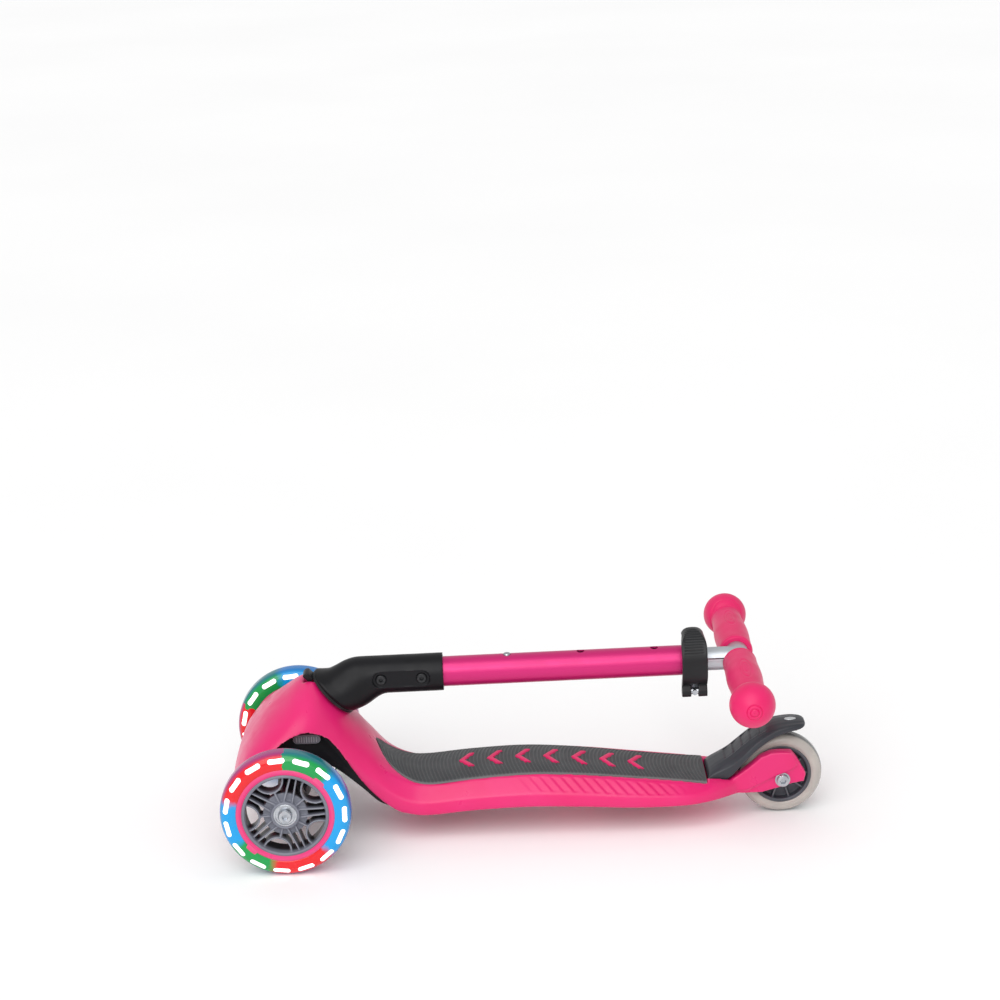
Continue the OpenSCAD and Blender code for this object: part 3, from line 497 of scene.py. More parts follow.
@dataclass
class Shape:
    """Closed surfaces that are gathered into one mesh."""

    points: list[Array] = field(default_factory=list)
    faces: list[tuple[int, ...]] = field(default_factory=list)
    count: int = 0

    def put(self, points: Array, faces: Iterable[Sequence[int]]) -> "Shape":
        """Adds points and the faces between them, and returns the shape."""
        self.points.append(np.asarray(points, float).reshape(-1, 3))
        self.faces += [tuple(i + self.count for i in f) for f in faces]
        self.count += len(self.points[-1])
        return self

    def loft(self, rings: Array, place: Place = WORLD) -> "Shape":
        """Adds a skin over rings of the same number of points, closed at both ends."""
        m, n = rings.shape[:2]
        quads = [(i * n + k, i * n + (k + 1) % n, (i + 1) * n + (k + 1) % n, (i + 1) * n + k)
                 for i in range(m - 1) for k in range(n)]
        caps = [tuple(range(n))[::-1], tuple((m - 1) * n + k for k in range(n))]
        return self.put(place.out(rings.reshape(-1, 3)), quads + caps)

    def prism(self, outline: Sequence[Sequence[float]], low: float, high: float,
              place: Place = WORLD) -> "Shape":
        """Adds a flat outline drawn out along the place's Z axis."""
        flat = np.asarray(outline, float)
        return self.loft(np.array([np.c_[flat, np.full(len(flat), z)] for z in (low, high)]),
                         place)

    def turn(self, profile: Sequence[Sequence[float]], place: Place = WORLD,
             segments: int = 96, closed: bool = True) -> "Shape":
        """Adds a profile of (radius, height) turned about the place's Z axis."""
        p = np.asarray(profile, float)
        m = len(p)
        a = np.arange(segments) * math.tau / segments
        points = np.stack([np.outer(p[:, 0], np.cos(a)), np.outer(p[:, 0], np.sin(a)),
                           np.repeat(p[:, 1:2], segments, 1)], -1)
        quads = [(i * segments + k, i * segments + (k + 1) % segments,
                  ((i + 1) % m) * segments + (k + 1) % segments, ((i + 1) % m) * segments + k)
                 for i in range(m if closed else m - 1) for k in range(segments)]
        return self.put(place.out(points.reshape(-1, 3)), quads)

    def box(self, low: Sequence[float], high: Sequence[float],
            place: Place = WORLD) -> "Shape":
        """Adds a block between two corners."""
        (x0, y0, z0), (x1, y1, z1) = low, high
        return self.prism([[x0, y0], [x1, y0], [x1, y1], [x0, y1]], z0, z1, place)

    def object(self, name: str) -> Object:
        """Makes the Blender object, in metres, with its faces turned outward."""
        mesh = bpy.data.meshes.new(name)
        mesh.from_pydata((np.vstack(self.points) * MM).tolist(), [], self.faces)
        work = bmesh.new()
        work.from_mesh(mesh)
        bmesh.ops.remove_doubles(work, verts=work.verts, dist=1e-6)
        bmesh.ops.dissolve_degenerate(work, edges=work.edges, dist=1e-7)
        bmesh.ops.recalc_face_normals(work, faces=work.faces)
        work.to_mesh(mesh)
        work.free()
        made = bpy.data.objects.new(name, mesh)
        bpy.context.scene.collection.objects.link(made)
        return made


def side_plate(outline: Sequence[Sequence[float]], low_y: float, high_y: float) -> Shape:
    """A plate with a side outline of (X, Z), from one Y to another."""
    return Shape().prism(outline, -high_y, -low_y, Place((0, 0, 0), (0, -1, 0), (1, 0, 0)))


def capsule(length: float, width: float, count: int = 12) -> list[list[float]]:
    """The outline of a slot, length long and width wide over all."""
    r, h = width / 2, (length - width) / 2
    return arc(h, 0, r, -90, 90, count) + arc(-h, 0, r, 90, 270, count)


def settle(obj: Object) -> Object:
    """Applies an object's modifiers to its mesh."""
    bpy.context.view_layer.update()
    graph = bpy.context.evaluated_depsgraph_get()
    old = obj.data
    obj.data = bpy.data.meshes.new_from_object(obj.evaluated_get(graph))
    obj.modifiers.clear()
    bpy.data.meshes.remove(old)
    return obj


def carve(obj: Object, *cutters: Shape) -> Object:
    """Cuts shapes out of an object, one after another."""
    for cutter in cutters:
        tool = cutter.object("cutter")
        cut = obj.modifiers.new("cut", "BOOLEAN")
        cut.operation, cut.solver, cut.object = "DIFFERENCE", "EXACT", tool
        settle(obj)
        bpy.data.objects.remove(tool)
    return obj


def melt(obj: Object, voxel_mm: float, passes: int, factor: float = 0.5) -> Object:
    """Joins overlapping solids into one skin and rounds its edges, as a mould does.

    Args:
        obj: the object, whose mesh is one or more closed surfaces.
        voxel_mm: the size of the new mesh's faces.
        passes: how often the surface is smoothed.
        factor: how strongly each pass smooths.

    Returns:
        The same object.
    """
    skin = obj.modifiers.new("skin", "REMESH")
    skin.mode, skin.voxel_size = "VOXEL", voxel_mm * MM
    if passes:
        ease = obj.modifiers.new("ease", "SMOOTH")
        ease.factor, ease.iterations = factor, passes
    return settle(obj)


def bevel(obj: Object, width_mm: float, segments: int = 2, angle: float = 30) -> Object:
    """Rounds an object's edges that are sharper than an angle in degrees."""
    edge = obj.modifiers.new("edge", "BEVEL")
    edge.width, edge.segments = width_mm * MM, segments
    edge.limit_method, edge.angle_limit = "ANGLE", math.radians(angle)
    edge.use_clamp_overlap = True
    return settle(obj)


def points_of(obj: Object) -> tuple[Array, Array]:
    """An object's vertices in millimetres, and their normals."""
    mesh = obj.data
    at, facing = np.empty(len(mesh.vertices) * 3), np.empty(len(mesh.vertices) * 3)
    mesh.vertices.foreach_get("co", at)
    mesh.vertex_normals.foreach_get("vector", facing)
    return at.reshape(-1, 3) / MM, facing.reshape(-1, 3)


def push(obj: Object, depth: Callable[[Array, Array], Array]) -> Object:
    """Moves an object's vertices along their normals.

    Args:
        obj: the object.
        depth: gives each vertex's distance in millimetres, from the points and normals.

    Returns:
        The same object.
    """
    at, facing = points_of(obj)
    moved = at + facing * depth(at, facing)[:, None]
    obj.data.vertices.foreach_set("co", (moved * MM).ravel())
    obj.data.update()
    return obj


def groove(distance: Array, width: float) -> Array:
    """1 in the middle of a line, 0 half a width away from it."""
    return np.clip(1 - (2 * distance / width) ** 2, 0, 1)


def show(obj: Object, body: str, finish: Finish, slot: Slot, *nodes: str,
         sharp: float = 40) -> Object:
    """Dresses a piece, rides it on its body and reports it.

    Args:
        obj: the piece.
        body: the CAD body that it rides on.
        finish: its surface.
        slot: the record's material slot; not used.
        nodes: the CAD nodes that it stands for.
        sharp: the angle in degrees above which an edge looks sharp.

    Returns:
        The same object.
    """
    obj.data.materials.clear()
    obj.data.materials.append(finish.build())
    obj.data.polygons.foreach_set("use_smooth", [True] * len(obj.data.polygons))
    obj.data.set_sharp_from_angle(angle=math.radians(sharp))
    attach(obj, body)
    if nodes:
        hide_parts(*nodes)
    LOG.info("%s: %d faces on %s", obj.name, len(obj.data.polygons), body)
    return obj


@dataclass
class Layout:
    """Where things are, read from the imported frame's joints."""

    joints: dict[str, dict[str, Any]]

    @classmethod
    def read(cls, frame: dict[str, Any]) -> "Layout":
        """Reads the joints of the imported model."""
        return cls({j["name"]: j for j in frame["joints"]})

    def at(self, joint: str) -> Array:
        """A joint's place in millimetres."""
        return np.array(self.joints[joint]["pos_m"]) / MM

    def column(self) -> Place:
        """The column's frame: Z along the folded column, X away from the deck."""
        z = unit(self.joints["height_slide"]["axis"])
        return Place(tuple(self.at("fold_swivel")), tuple(z), (z[2], 0.0, -z[0]))

    def fold(self) -> Place:
        """The fold joint's frame: Z along its axis, X forward."""
        z = unit(self.joints["fold_swivel"]["axis"])
        return Place(tuple(self.at("fold_swivel")), tuple(z), (z[2], 0.0, -z[0]))

    def steering(self) -> Place:
        """The steering's frame: Z along the kingpin."""
        z = unit(self.joints["steer"]["axis"])
        return Place(tuple(self.at("steer")), tuple(z), (z[2], 0.0, -z[0]))

    def wheel(self, name: str, side: int = 1) -> Place:
        """A wheel's frame: Z along its axle, outward on the given side."""
        return Place(tuple(self.at(name + "_spin")), (0, side, 0), (1, 0, 0))


# ---------- deck ----------

@dataclass
class Deck:
    """The pink deck with its neck, nose and fork arms, and the mat let into it."""

    layout: Layout
    front_x: float = 0.0
    rear_x: float = 0.0
    half_w: float = 52.0
    nose_w: float = 80.0
    fork_in: float = 13.5
    fork_out: float = 25.0
    seat_drop: float = 20.0
    seat_r: float = 27.0
    mat_half: float = 37.0
    mat_depth: float = 5.0
    mat_gap: float = 0.35
    rib_pitch: float = 3.6
    rib_depth: float = 0.8
    louvre_pitch: float = 10.2
    louvre_depth: float = 1.0
    voxel: float = 1.25
    keys: Array = field(default_factory=lambda: np.zeros((0, 6)))

    def __post_init__(self) -> None:
        """Works out the deck's cross-sections from the two axles."""
        self.front_x = float(self.layout.at("wheel_left_spin")[0])
        self.rear_x = float(self.layout.at("wheel_rear_spin")[0])
        w, n = self.half_w, self.nose_w
        foot = self.front_x - self.rear_x - 184.5
        tail = [[44.5, 44, 33, 25, self.fork_out + 0.5, 4], [60, 45, 32.5, 24.5, w * 0.7, 3.4]]
        floor = [[74.5 + s * foot, *rest] for s, *rest in [
            (0, 46, 32, 24, w * 0.84, 3.2), (0.08, 48, 32, 23, w * 0.95, 3),
            (0.24, 53.3, 33, 23.4, w, 3), (0.42, 59.5, 36, 26, w, 3),
            (0.6, 62.8, 37.5, 27.6, w, 3), (0.78, 60.6, 35.5, 25.8, w, 3),
            (0.93, 56.8, 32, 22.2, w, 3)]]
        nose = [[-110, 60, 35, 24.4, w, 2.8], [-92, 72, 45, 26.6, w * 0.97, 2.4],
                [-76, 93, 60, 31, w * 0.95, 2], [-58, 114.5, 80, 40, w, 1.9],
                [-42, 135, 96, 50, n * 0.71, 1.8], [-26, 150, 106, 56, n * 0.79, 1.75],
                [-10, 147.5, 107, 57, n * 0.87, 1.7], [6, 135.5, 103, 57, n * 0.94, 1.7],
                [22, 121.5, 94, 57, n * 0.99, 1.8], [36, 105, 84, 57, n * 0.98, 2],
                [46, 89, 75, 57, n * 0.88, 2.2], [51.5, 75, 67, 58, n * 0.7, 2.4],
                [54.5, 66, 62.5, 59, n * 0.45, 2.4]]
        rows = np.array(tail + floor), np.array(nose)
        rows[0][:, 0] += self.rear_x
        rows[1][:, 0] += self.front_x
        self.keys = spline(np.vstack(rows), 6)

    def section(self, x: float | Array) -> list[Array]:
        """Crest, shoulder, underside, half width and squareness at X."""
        return [np.interp(x, self.keys[:, 0], self.keys[:, i]) for i in range(1, 6)]

    def top(self, x: Array, y: Array) -> Array:
        """Height of the deck's top at (X, Y)."""
        crest, shoulder, _, half, power = self.section(x)
        share = np.clip(np.abs(y) / half, 0, 1)
        return shoulder + (crest - shoulder) * (1 - share ** power) ** (1 / power)

    def ring(self, row: Array, count: int = 96) -> Array:
        """One cross-section, with a flat band between the mat's edge and the widest line."""
        x, crest, shoulder, under, half, power = row
        a = (np.arange(count) + 0.5) * math.tau / count
        c, s = np.cos(a), np.sin(a)
        y = half * np.sign(c) * np.abs(c) ** (2 / power)
        up = shoulder + (crest - shoulder) * np.abs(s) ** (2 / power)
        down = shoulder - (shoulder - under) * np.abs(s) ** 0.5
        z = np.where(s > 0, up, down)
        edge, out = half * 0.72, half * 0.96
        height = self.top(np.array([x]), np.array([edge]))[0]
        crease = shoulder + (crest - shoulder) * 0.33
        chamfer = height + (crease - height) * (np.abs(y) - edge) / (out - edge)
        fall = np.clip((np.abs(y) - out) / (half - out), 0, 1)
        chamfer = np.where(np.abs(y) > out, shoulder + (crease - shoulder)
                           * np.sqrt(1 - fall ** 2), chamfer)
        flat = 0.85 * float(smoothstep(self.rear_x + 60, self.rear_x + 90, np.array(x))
                            * (1 - smoothstep(self.front_x - 110, self.front_x - 70, np.array(x))))
        z = np.where((s > 0) & (np.abs(y) > edge), z + (chamfer - z) * flat, z)
        return np.stack([np.full(count, x), y, z], 1)

    def arch(self) -> Shape:
        """The room under the nose and the neck."""
        keys = [[-118, 20], [-106, 27.5], [-94, 36], [-84, 44], [-70, 60], [-59, 77.5],
                [-46, 99], [-34, 112], [-18, 118], [0, 113.4], [14, 103], [27, 89], [37, 70],
                [41, 55]]
        line = spline([[self.front_x + x, z] for x, z in keys], 6).tolist()
        return side_plate(line + [[line[-1][0], -10], [line[0][0], -10]], -120, 120)

    def mat_line(self, x: Array) -> Array:
        """Half width of the mat at X, which ends in a pointed tongue on the neck."""
        first, last = self.mat_ends()
        span = last - first
        keys = spline([[first, 0.9], [first + span * 0.15, 0.87], [first + span * 0.45, 0.95],
                       [first + span * 0.7, 1.01], [first + span * 0.81, 1.03],
                       [first + span * 0.87, 0.97], [first + span * 0.935, 0.73],
                       [first + span * 0.975, 0.42], [last, 0.0]], 8)
        return self.mat_half * np.interp(x, keys[:, 0], keys[:, 1])

    def mat_ends(self) -> tuple[float, float]:
        """Where the mat begins at the brake and where its tongue ends."""
        return self.rear_x + 72.9, self.front_x - 80

    def mat_room(self) -> Shape:
        """The seat that the mat lies in."""
        first, last = self.mat_ends()
        rings = []
        for x in np.r_[first, np.linspace(first + 2, last - 0.4, 90)]:
            half = max(float(self.mat_line(x)), 0.4)
            low = float(self.section(x)[0]) - self.mat_depth
            rings.append([[x, -half, low], [x, half, low], [x, half, 220], [x, -half, 220]])
        return Shape().loft(np.array(rings))

    def seat_room(self) -> Shape:
        """Room for the turning head above its seat, and for the seat's plate."""
        place, drop, r = self.layout.fold(), self.seat_drop, self.seat_r
        profile = [[0, -drop - 3], [r - 0.4, -drop - 3], [r - 0.4, -drop], [r + 2.5, -drop],
                   [r + 2.5, 60], [0, 60]]
        return Shape().turn(profile, place, 96)

    def button_room(self) -> list[Shape]:
        """The notch for the release button, in front of the seat, and room for its travel."""
        place = self.layout.fold()
        return [Shape().box((15, -8.6, -29.8), (55, 8.6, -20.5), place),
                Shape().box((22.4, -8.6, -33.6), (34.2, 8.6, -28), place)]

    def brake_room(self) -> list[Shape]:
        """The slot for the rear wheel, and the seat for the brake's fender."""
        rear, z = self.rear_x, float(self.layout.at("brake_press")[2])
        slot = capsule(240, 2 * self.fork_in, 16)
        slot = [[x + rear + 43.5 - 120, y] for x, y in slot]
        seat = [[rear + 35, 90], [rear + 38.5, 52], [rear + 47, 44], [rear + 54, 38],
                [rear + 58, z - 4.8], [rear + 72.2, z - 4.8], [rear + 72.2, 90]]
        return [Shape().prism(slot, -10, 200), side_plate(seat, -24.5, 24.5)]

    def pockets(self) -> list[Shape]:
        """Two rows of pockets in the underside, with ribs and a flat pad between them."""
        first = self.rear_x + 74.5 + 0.06 * (self.front_x - self.rear_x - 184.5)
        step = (self.front_x - 122 - first) / 6
        wide, spine, tops = self.half_w * 0.66, 8.0, 9.0
        made = []
        for k in range(6):
            x0, x1 = first + k * step + 2, first + (k + 1) * step - 2
            if k == 2:
                made.append(Shape().box((x0, -wide, 0), (x1, wide, 36)))
                continue
            for side in (-1, 1):
                y0, y1 = sorted((side * spine / 2, side * (spine / 2 + wide)))
                rings = []
                for x in np.linspace(x0, x1, 8):
                    top = float(self.section(x)[0]) - tops
                    rings.append([[x, y0, 0], [x, y1, 0], [x, y1, top], [x, y0, top]])
                made.append(Shape().loft(np.array(rings)))
        return made

    def arms(self) -> Shape:
        """The two fork arms: a full band along the top, and a thinner face below it."""
        r, z = self.rear_x, float(self.layout.at("wheel_rear_spin")[2])
        top = [[62, -5.2], [52, -0.2], [41, 7.4], [31, 15], [21, 24], [11, 28], [3, 28.6],
               [-8.5, 28]]
        low = [[-14, 21], [-22.5, 5], [-20.5, -2.5], [-7, -5.2], [3, -8.5], [20, -13],
               [37, -13.5], [50, -12.5], [62, -12]]
        crease = [[56, -8], [34, -9.5], [20.5, -2.6], [6.5, 4.6], [-7.5, 9.7], [-13.5, 15]]
        made = Shape()
        for side in (-1, 1):
            for outline, out in ((top + low, self.fork_out - 2.2), (top + crease[::-1],
                                                                    self.fork_out)):
                y0, y1 = sorted((side * self.fork_in, side * out))
                part = side_plate([[r + x, z + h] for x, h in outline], y0, y1)
                made.put(part.points[0], part.faces)
        return made

    def ribs(self, at: Array, facing: Array) -> Array:
        """Depth of the slanting louvres on the flanks, beside the mat."""
        x, y, z = at.T
        side = np.abs(y)
        _, shoulder, _, half, _ = self.section(x)
        from_mat = side - self.mat_half * 1.03
        line = (x + from_mat * 1.1) / self.louvre_pitch
        saw = line - np.floor(line)
        step = saw * (1 - smoothstep(0.86, 1.0, saw)) - 0.25
        inside = (smoothstep(self.rear_x + 88, self.rear_x + 112, x)
                  * (1 - smoothstep(self.front_x - 270, self.front_x - 200, x))
                  * smoothstep(0.4, 1.4, from_mat) * smoothstep(1.8, 3.4, half - side)
                  * (z > shoulder + 4) * (facing[:, 2] > 0.2))
        return -self.louvre_depth * step * inside

    def shell(self) -> None:
        """Makes the moulding of the deck, neck and nose."""
        body = Shape().loft(np.array([self.ring(row) for row in self.keys]))
        deck = body.object("deck_moulding")
        carve(deck, self.arch(), self.mat_room(), self.seat_room(), *self.button_room(),
              *self.brake_room(), *self.pockets())
        arms = self.arms().object("arms")
        graft = bmesh.new()
        graft.from_mesh(deck.data)
        graft.from_mesh(arms.data)
        graft.to_mesh(deck.data)
        graft.free()
        bpy.data.objects.remove(arms)
        melt(deck, self.voxel, 6)
        push(deck, self.ribs)
        show(deck, "deck", PINK_PLASTIC, Slot.PINK_PLASTIC, "deck_shell", sharp=60)

    def mat(self) -> None:
        """Makes the mat: curved ribs across it, and a smooth rim."""
        first, last = self.mat_ends()
        xs = np.arange(first + 0.5, last - 0.5, 0.55)
        across = np.linspace(-1, 1, 45)
        half = np.maximum(self.mat_line(xs) - self.mat_gap, 0.3)
        x = np.repeat(xs[:, None], len(across), 1)
        y = half[:, None] * across
        bow = 6.5 * across ** 2
        phase = (x + bow) / self.rib_pitch
        rib = 0.5 - 0.5 * np.cos(math.tau * phase)
        rim = (smoothstep(1.5, 2.6, half[:, None] - np.abs(y))
               * smoothstep(2.0, 3.2, x - first) * smoothstep(2.5, 5, last - x))
        edge = smoothstep(0.0, 1.2, half[:, None] - np.abs(y))
        z = self.top(x, y) + 0.35 - self.rib_depth * rib * rim - 0.7 * (1 - edge)
        upper = np.stack([x, y, z], -1)
        lower = upper[:, ::-1].copy()
        lower[..., 2] = (self.section(xs)[0] - self.mat_depth + 0.4)[:, None]
        rings = np.concatenate([upper, lower], 1)
        mat = Shape().loft(rings).object("mat")
        show(mat, "deck", MAT_RUBBER, Slot.MAT, "deck_mat", sharp=50)
        self.marks()

    def marks(self) -> None:
        """Makes the row of plain pink chevrons that stand a little proud of the mat."""
        count, pitch, reach, wide, thick = 7, 27.0, 15.0, 6.0, 1.3
        middle = (self.mat_ends()[0] + self.mat_ends()[1]) / 2 - 12
        made = Shape()
        for k in range(count):
            start = middle + (k - (count - 1) / 2) * pitch
            ys = np.linspace(-reach, reach, 25)
            lead = start + 6.5 - 0.62 * np.abs(ys)
            rings = []
            for y, x in zip(ys, lead):
                ends = [(x - wide / 2, -0.6), (x - wide / 2 + 0.3, thick * 0.7),
                        (x - wide / 2 + 0.9, thick), (x + wide / 2 - 0.9, thick),
                        (x + wide / 2 - 0.3, thick * 0.7), (x + wide / 2, -0.6)]
                rings.append([[px, y, float(self.top(np.array([px]), np.array([y]))[0]) + pz]
                              for px, pz in ends])
            made.loft(np.array(rings))
        show(made.object("mat_chevrons"), "deck", PINK_RUBBER, Slot.PINK_RUBBER, sharp=50)

    def seat(self) -> None:
        """Makes the dark turning face and the release button in front of it."""
        place, drop, r = self.layout.fold(), self.seat_drop, self.seat_r - 0.5
        ring = Shape().turn([[5.2, -drop - 3], [r, -drop - 3], [r, -drop - 0.8],
                             [r - 0.8, -drop], [5.2, -drop]], place, 96)
        show(ring.object("turning_face"), "deck", BLACK_NYLON, Slot.BLACK, "fold_seat")
        top = -drop - 3.5
        outline = [[23.5, top - 6], [33, top - 6], [33, top - 2.2], [31.4, top - 0.2],
                   [30, top], [23.5, top]]
        side = Place(place.origin, tuple(-np.cross(unit(place.z), unit(place.x))), place.x)
        button = Shape().prism([[a, b] for a, b in outline], -8, 8, side)
        lip = bevel(button.object("release_button"), 0.9, 3)
        show(lip, "fold_button", BLACK_NYLON, Slot.BLACK, "fold_release_button")

    def build(self) -> None:
        """Makes every piece of the deck."""
        self.shell()
        self.mat()
        self.seat()


# ---------- column ----------

@dataclass
class Column:
    """The black head and sleeve, the lacquered tube, the clamp and its lever."""

    layout: Layout
    tube_r: float = 14.3
    sleeve_r: float = 18.0
    bolts: tuple[float, float] = (30.5, 69.0)
    clamp_at: float = 327.0
    collar_h: float = 15.0
    snap_at: float = 150.5
    hole_pitch: float = 70.0
    lever_w: float = 24.0
    lever_r: float = 22.5
    lever_t: float = 6.0
    lever_cx: float = 3.4
    ear: tuple[float, float] = (-27.0, 12.0)

    def head(self) -> None:
        """Makes the head, which sweeps from its turning face to the sleeve."""
        place = self.layout.column()
        # front and rear of each cross-section as (along, up), and its half width
        keys = [[-32.9, 6.3, 3.9, -33.1, 26.8], [-31.2, 6.6, 6.0, -32.4, 27.0],
                [-27.0, 6.4, 9.5, -31.1, 26.4], [-20.0, 7.0, 14.6, -29.0, 25.0],
                [-13.0, 10.2, 20.0, -26.0, 23.0], [-4.5, 14.6, 25.8, -22.0, 20.9],
                [4.5, 17.4, 31.0, -19.2, 19.2], [14.0, 18.0, 36.0, -18.1, 18.2],
                [25.0, 18.0, 40.0, -18.0, 18.0], [46.0, 18.0, 46.0, -18.0, 18.0],
                [66.0, 18.0, 66.0, -18.0, 18.0], [87.6, 18.0, 87.6, -18.0, 18.0],
                [89.0, 17.4, 89.0, -17.4, 17.4], [89.5, 16.0, 89.5, -16.0, 16.0]]
        rows = spline(keys, 8)
        a = np.arange(96) * math.tau / 96
        rings = []
        for z0, x0, z1, x1, half in rows:
            middle, reach = np.array([x0 + x1, z0 + z1]) / 2, np.array([x0 - x1, z0 - z1]) / 2
            flat = middle[:, None] + reach[:, None] * np.cos(a)
            rings.append(np.stack([flat[0], half * np.sin(a), flat[1]], 1))
        head = Shape().loft(np.array(rings), place).object("fold_head_moulding")
        middle = sum(self.bolts) / 2
        length = self.bolts[1] - self.bolts[0] + 16
        rooms = []
        for side in (-1, 1):
            facing = Place(tuple(place.out([0, 0, middle])), (0, side, 0), place.z)
            rooms.append(Shape().prism(capsule(length, 15.5, 20), self.sleeve_r - 2.3, 40, facing))
            for z in self.bolts:
                hole = Place(tuple(place.out([0, 0, z])), (0, side, 0), place.z)
                rooms.append(Shape().turn([[0, 15.1], [5.3, 15.1], [5.3, 40], [0, 40]], hole, 48))
        bore = Shape().turn([[0, 60], [self.tube_r + 0.15, 60], [self.tube_r + 0.15, 120],
                             [0, 120]],
                            place, 64)
        carve(head, *rooms, bore)
        melt(head, 0.6, 2)
        show(head, "column", BLACK_NYLON, Slot.BLACK, "fold_head", sharp=60)
        self.head_bolts(place)

    def head_bolts(self, place: Place) -> None:
        """Makes the round socket heads that sit in the head's recess, on both sides."""
        made = []
        for side in (-1, 1):
            for z in self.bolts:
                at = Place(tuple(place.out([0, 0, z])), (0, side, 0), place.z)
                bolt = Shape().turn([[0, 12], [4.6, 12], [4.6, 16.6], [4.0, 17.2], [0, 17.2]],
                                    at, 48).object("bolt")
                made.append(carve(bolt, socket(at, 2.3, 15.2, 20)))
        show(joined(made, "head_bolts_round"), "column", BLACK_STEEL, Slot.BLACK, "head_bolts",
             "head_nuts")

    def tube(self) -> None:
        """Makes the lacquered tube, with its height holes along the top."""
        place, r = self.layout.column(), self.tube_r
        low, high = 9.5, self.clamp_at + self.collar_h / 2 - 1
        tube = Shape().turn([[r - 1.5, low], [r, low], [r, high - 0.4], [r - 0.4, high],
                             [r - 1.5, high]], place, 128).object("lower_tube")
        holes = []
        for k in range(3):
            at = Place(tuple(place.out([0, 0, self.snap_at + k * self.hole_pitch])), place.x,
                       place.z)
            holes.append(Shape().turn([[0, 5], [3.8, 5], [3.8, 30], [0, 30]], at, 40))
        show(carve(tube, *holes), "column", PINK_LACQUER, Slot.PINK_METAL, "outer_tube")

    def clamp(self) -> None:
        """Makes the collar with its two ears, and the lever with its forked foot."""
        place, r = self.layout.column(), self.tube_r
        low, high = self.clamp_at - self.collar_h / 2, self.clamp_at + self.collar_h / 2
        collar = Shape().turn([[r + 0.05, low], [r + 3.4, low], [r + 4, low + 0.6],
                               [r + 4, high - 0.6], [r + 3.4, high], [r + 0.05, high]], place, 128)
        collar = collar.object("clamp_band")
        carve(collar, Shape().box((-40, -1.5, low - 5), (0, 1.5, high + 5), place))
        ears = [bevel(Shape().box((self.ear[0] - 5.5, y0, low), (-r - 1.5, y1, high), place)
                      .object("ear"), 0.7) for y0, y1 in ((1.5, 6.0), (-6.0, -1.5))]
        show(joined([collar, *ears], "clamp_collar_band"), "column", ALUMINIUM, Slot.ALUMINIUM,
             "clamp_collar")
        self.lever(place)

    def lever(self, place: Place) -> None:
        """Makes the bowed lever, with grip ridges and rounded corners at its free end."""
        cx, r, t, end = self.lever_cx, self.lever_r, self.lever_t, 146
        eye = (self.ear[0], self.ear[1] + 0.6)
        droop = math.radians(-4)
        tip = (cx + (r + t / 2) * math.cos(droop), (r + t / 2) * math.sin(droop))
        outline = (arc(cx, 0, r + t, -4, end, 40) + arc(*eye, 5.6, 75, 270, 16)
                   + arc(cx, 0, r, end, -4, 40) + arc(*tip, t / 2 + 0.3, 190, 340, 10))
        low, high = self.clamp_at - self.lever_w / 2, self.clamp_at + self.lever_w / 2
        lever = Shape().prism(outline, low, high, place).object("clamp_lever_bow")
        rooms = [Shape().box((self.ear[0] - 16, -40, self.clamp_at - 3.4),
                             (self.ear[0] + 8.5, 40, self.clamp_at + 3.4), place),
                 Shape().box((self.ear[0] - 20, -20, low - 5), (self.ear[0] + 11, 6.5, high + 5),
                             place)]
        for s in (-1, 1):
            rooms.append(self.corner(place, s))
        carve(lever, *rooms)
        melt(lever, 0.5, 4)

        def ridges(at: Array, facing: Array) -> Array:
            """Depth of the finger ridges across the lever's back."""
            local = place.back(at)
            across = local[:, 2] - self.clamp_at
            radius = np.hypot(local[:, 0] - cx, local[:, 1])
            angle = np.degrees(np.arctan2(local[:, 1], local[:, 0] - cx))
            lines = groove(np.abs((angle / 6.2) % 1 - 0.5), 0.5)
            inside = (smoothstep(4, 10, angle) * (1 - smoothstep(64, 72, angle))
                      * (1 - smoothstep(8, 9.5, np.abs(across))) * (radius > r + t - 1.2))
            return -0.45 * lines * inside

        push(lever, ridges)
        show(lever, "lever", BLACK_ABS, Slot.BLACK, "clamp_lever", sharp=60)

    def corner(self, place: Place, side: int) -> Shape:
        """What is cut from the lever's top corner, on one side, to round it."""
        round_r = 11.2
        edge = self.clamp_at + side * self.lever_w / 2
        middle = edge - side * round_r
        top = self.lever_cx + self.lever_r + self.lever_t
        along = top - round_r
        outline = [[top + 6, middle]] + [[along + round_r * math.cos(q), middle + side * round_r
                                          * math.sin(q)] for q in np.linspace(0, math.pi / 2, 14)]
        outline += [[along, edge + side * 6], [top + 6, edge + side * 6]]
        y = unit(np.cross(unit(place.z), unit(place.x)))
        local = Place(place.origin, tuple(-y), place.x)
        return Shape().prism(outline, -60, 30, local)

    def build(self) -> None:
        """Makes every piece of the column."""
        self.head()
        self.tube()
        self.clamp()


def socket(place: Place, r: float, low: float, high: float) -> Shape:
    """A hexagon socket that is cut into a bolt's head."""
    return Shape().prism(arc(0, 0, r, 0, 300, 6), low, high, place)


def joined(objects: Sequence[Object], name: str) -> Object:
    """Puts several objects' meshes into one new object."""
    work = bmesh.new()
    for obj in objects:
        work.from_mesh(obj.data)
        bpy.data.objects.remove(obj)
    mesh = bpy.data.meshes.new(name)
    work.to_mesh(mesh)
    work.free()
    made = bpy.data.objects.new(name, mesh)
    bpy.context.scene.collection.objects.link(made)
    return made


# ---------- handlebar ----------

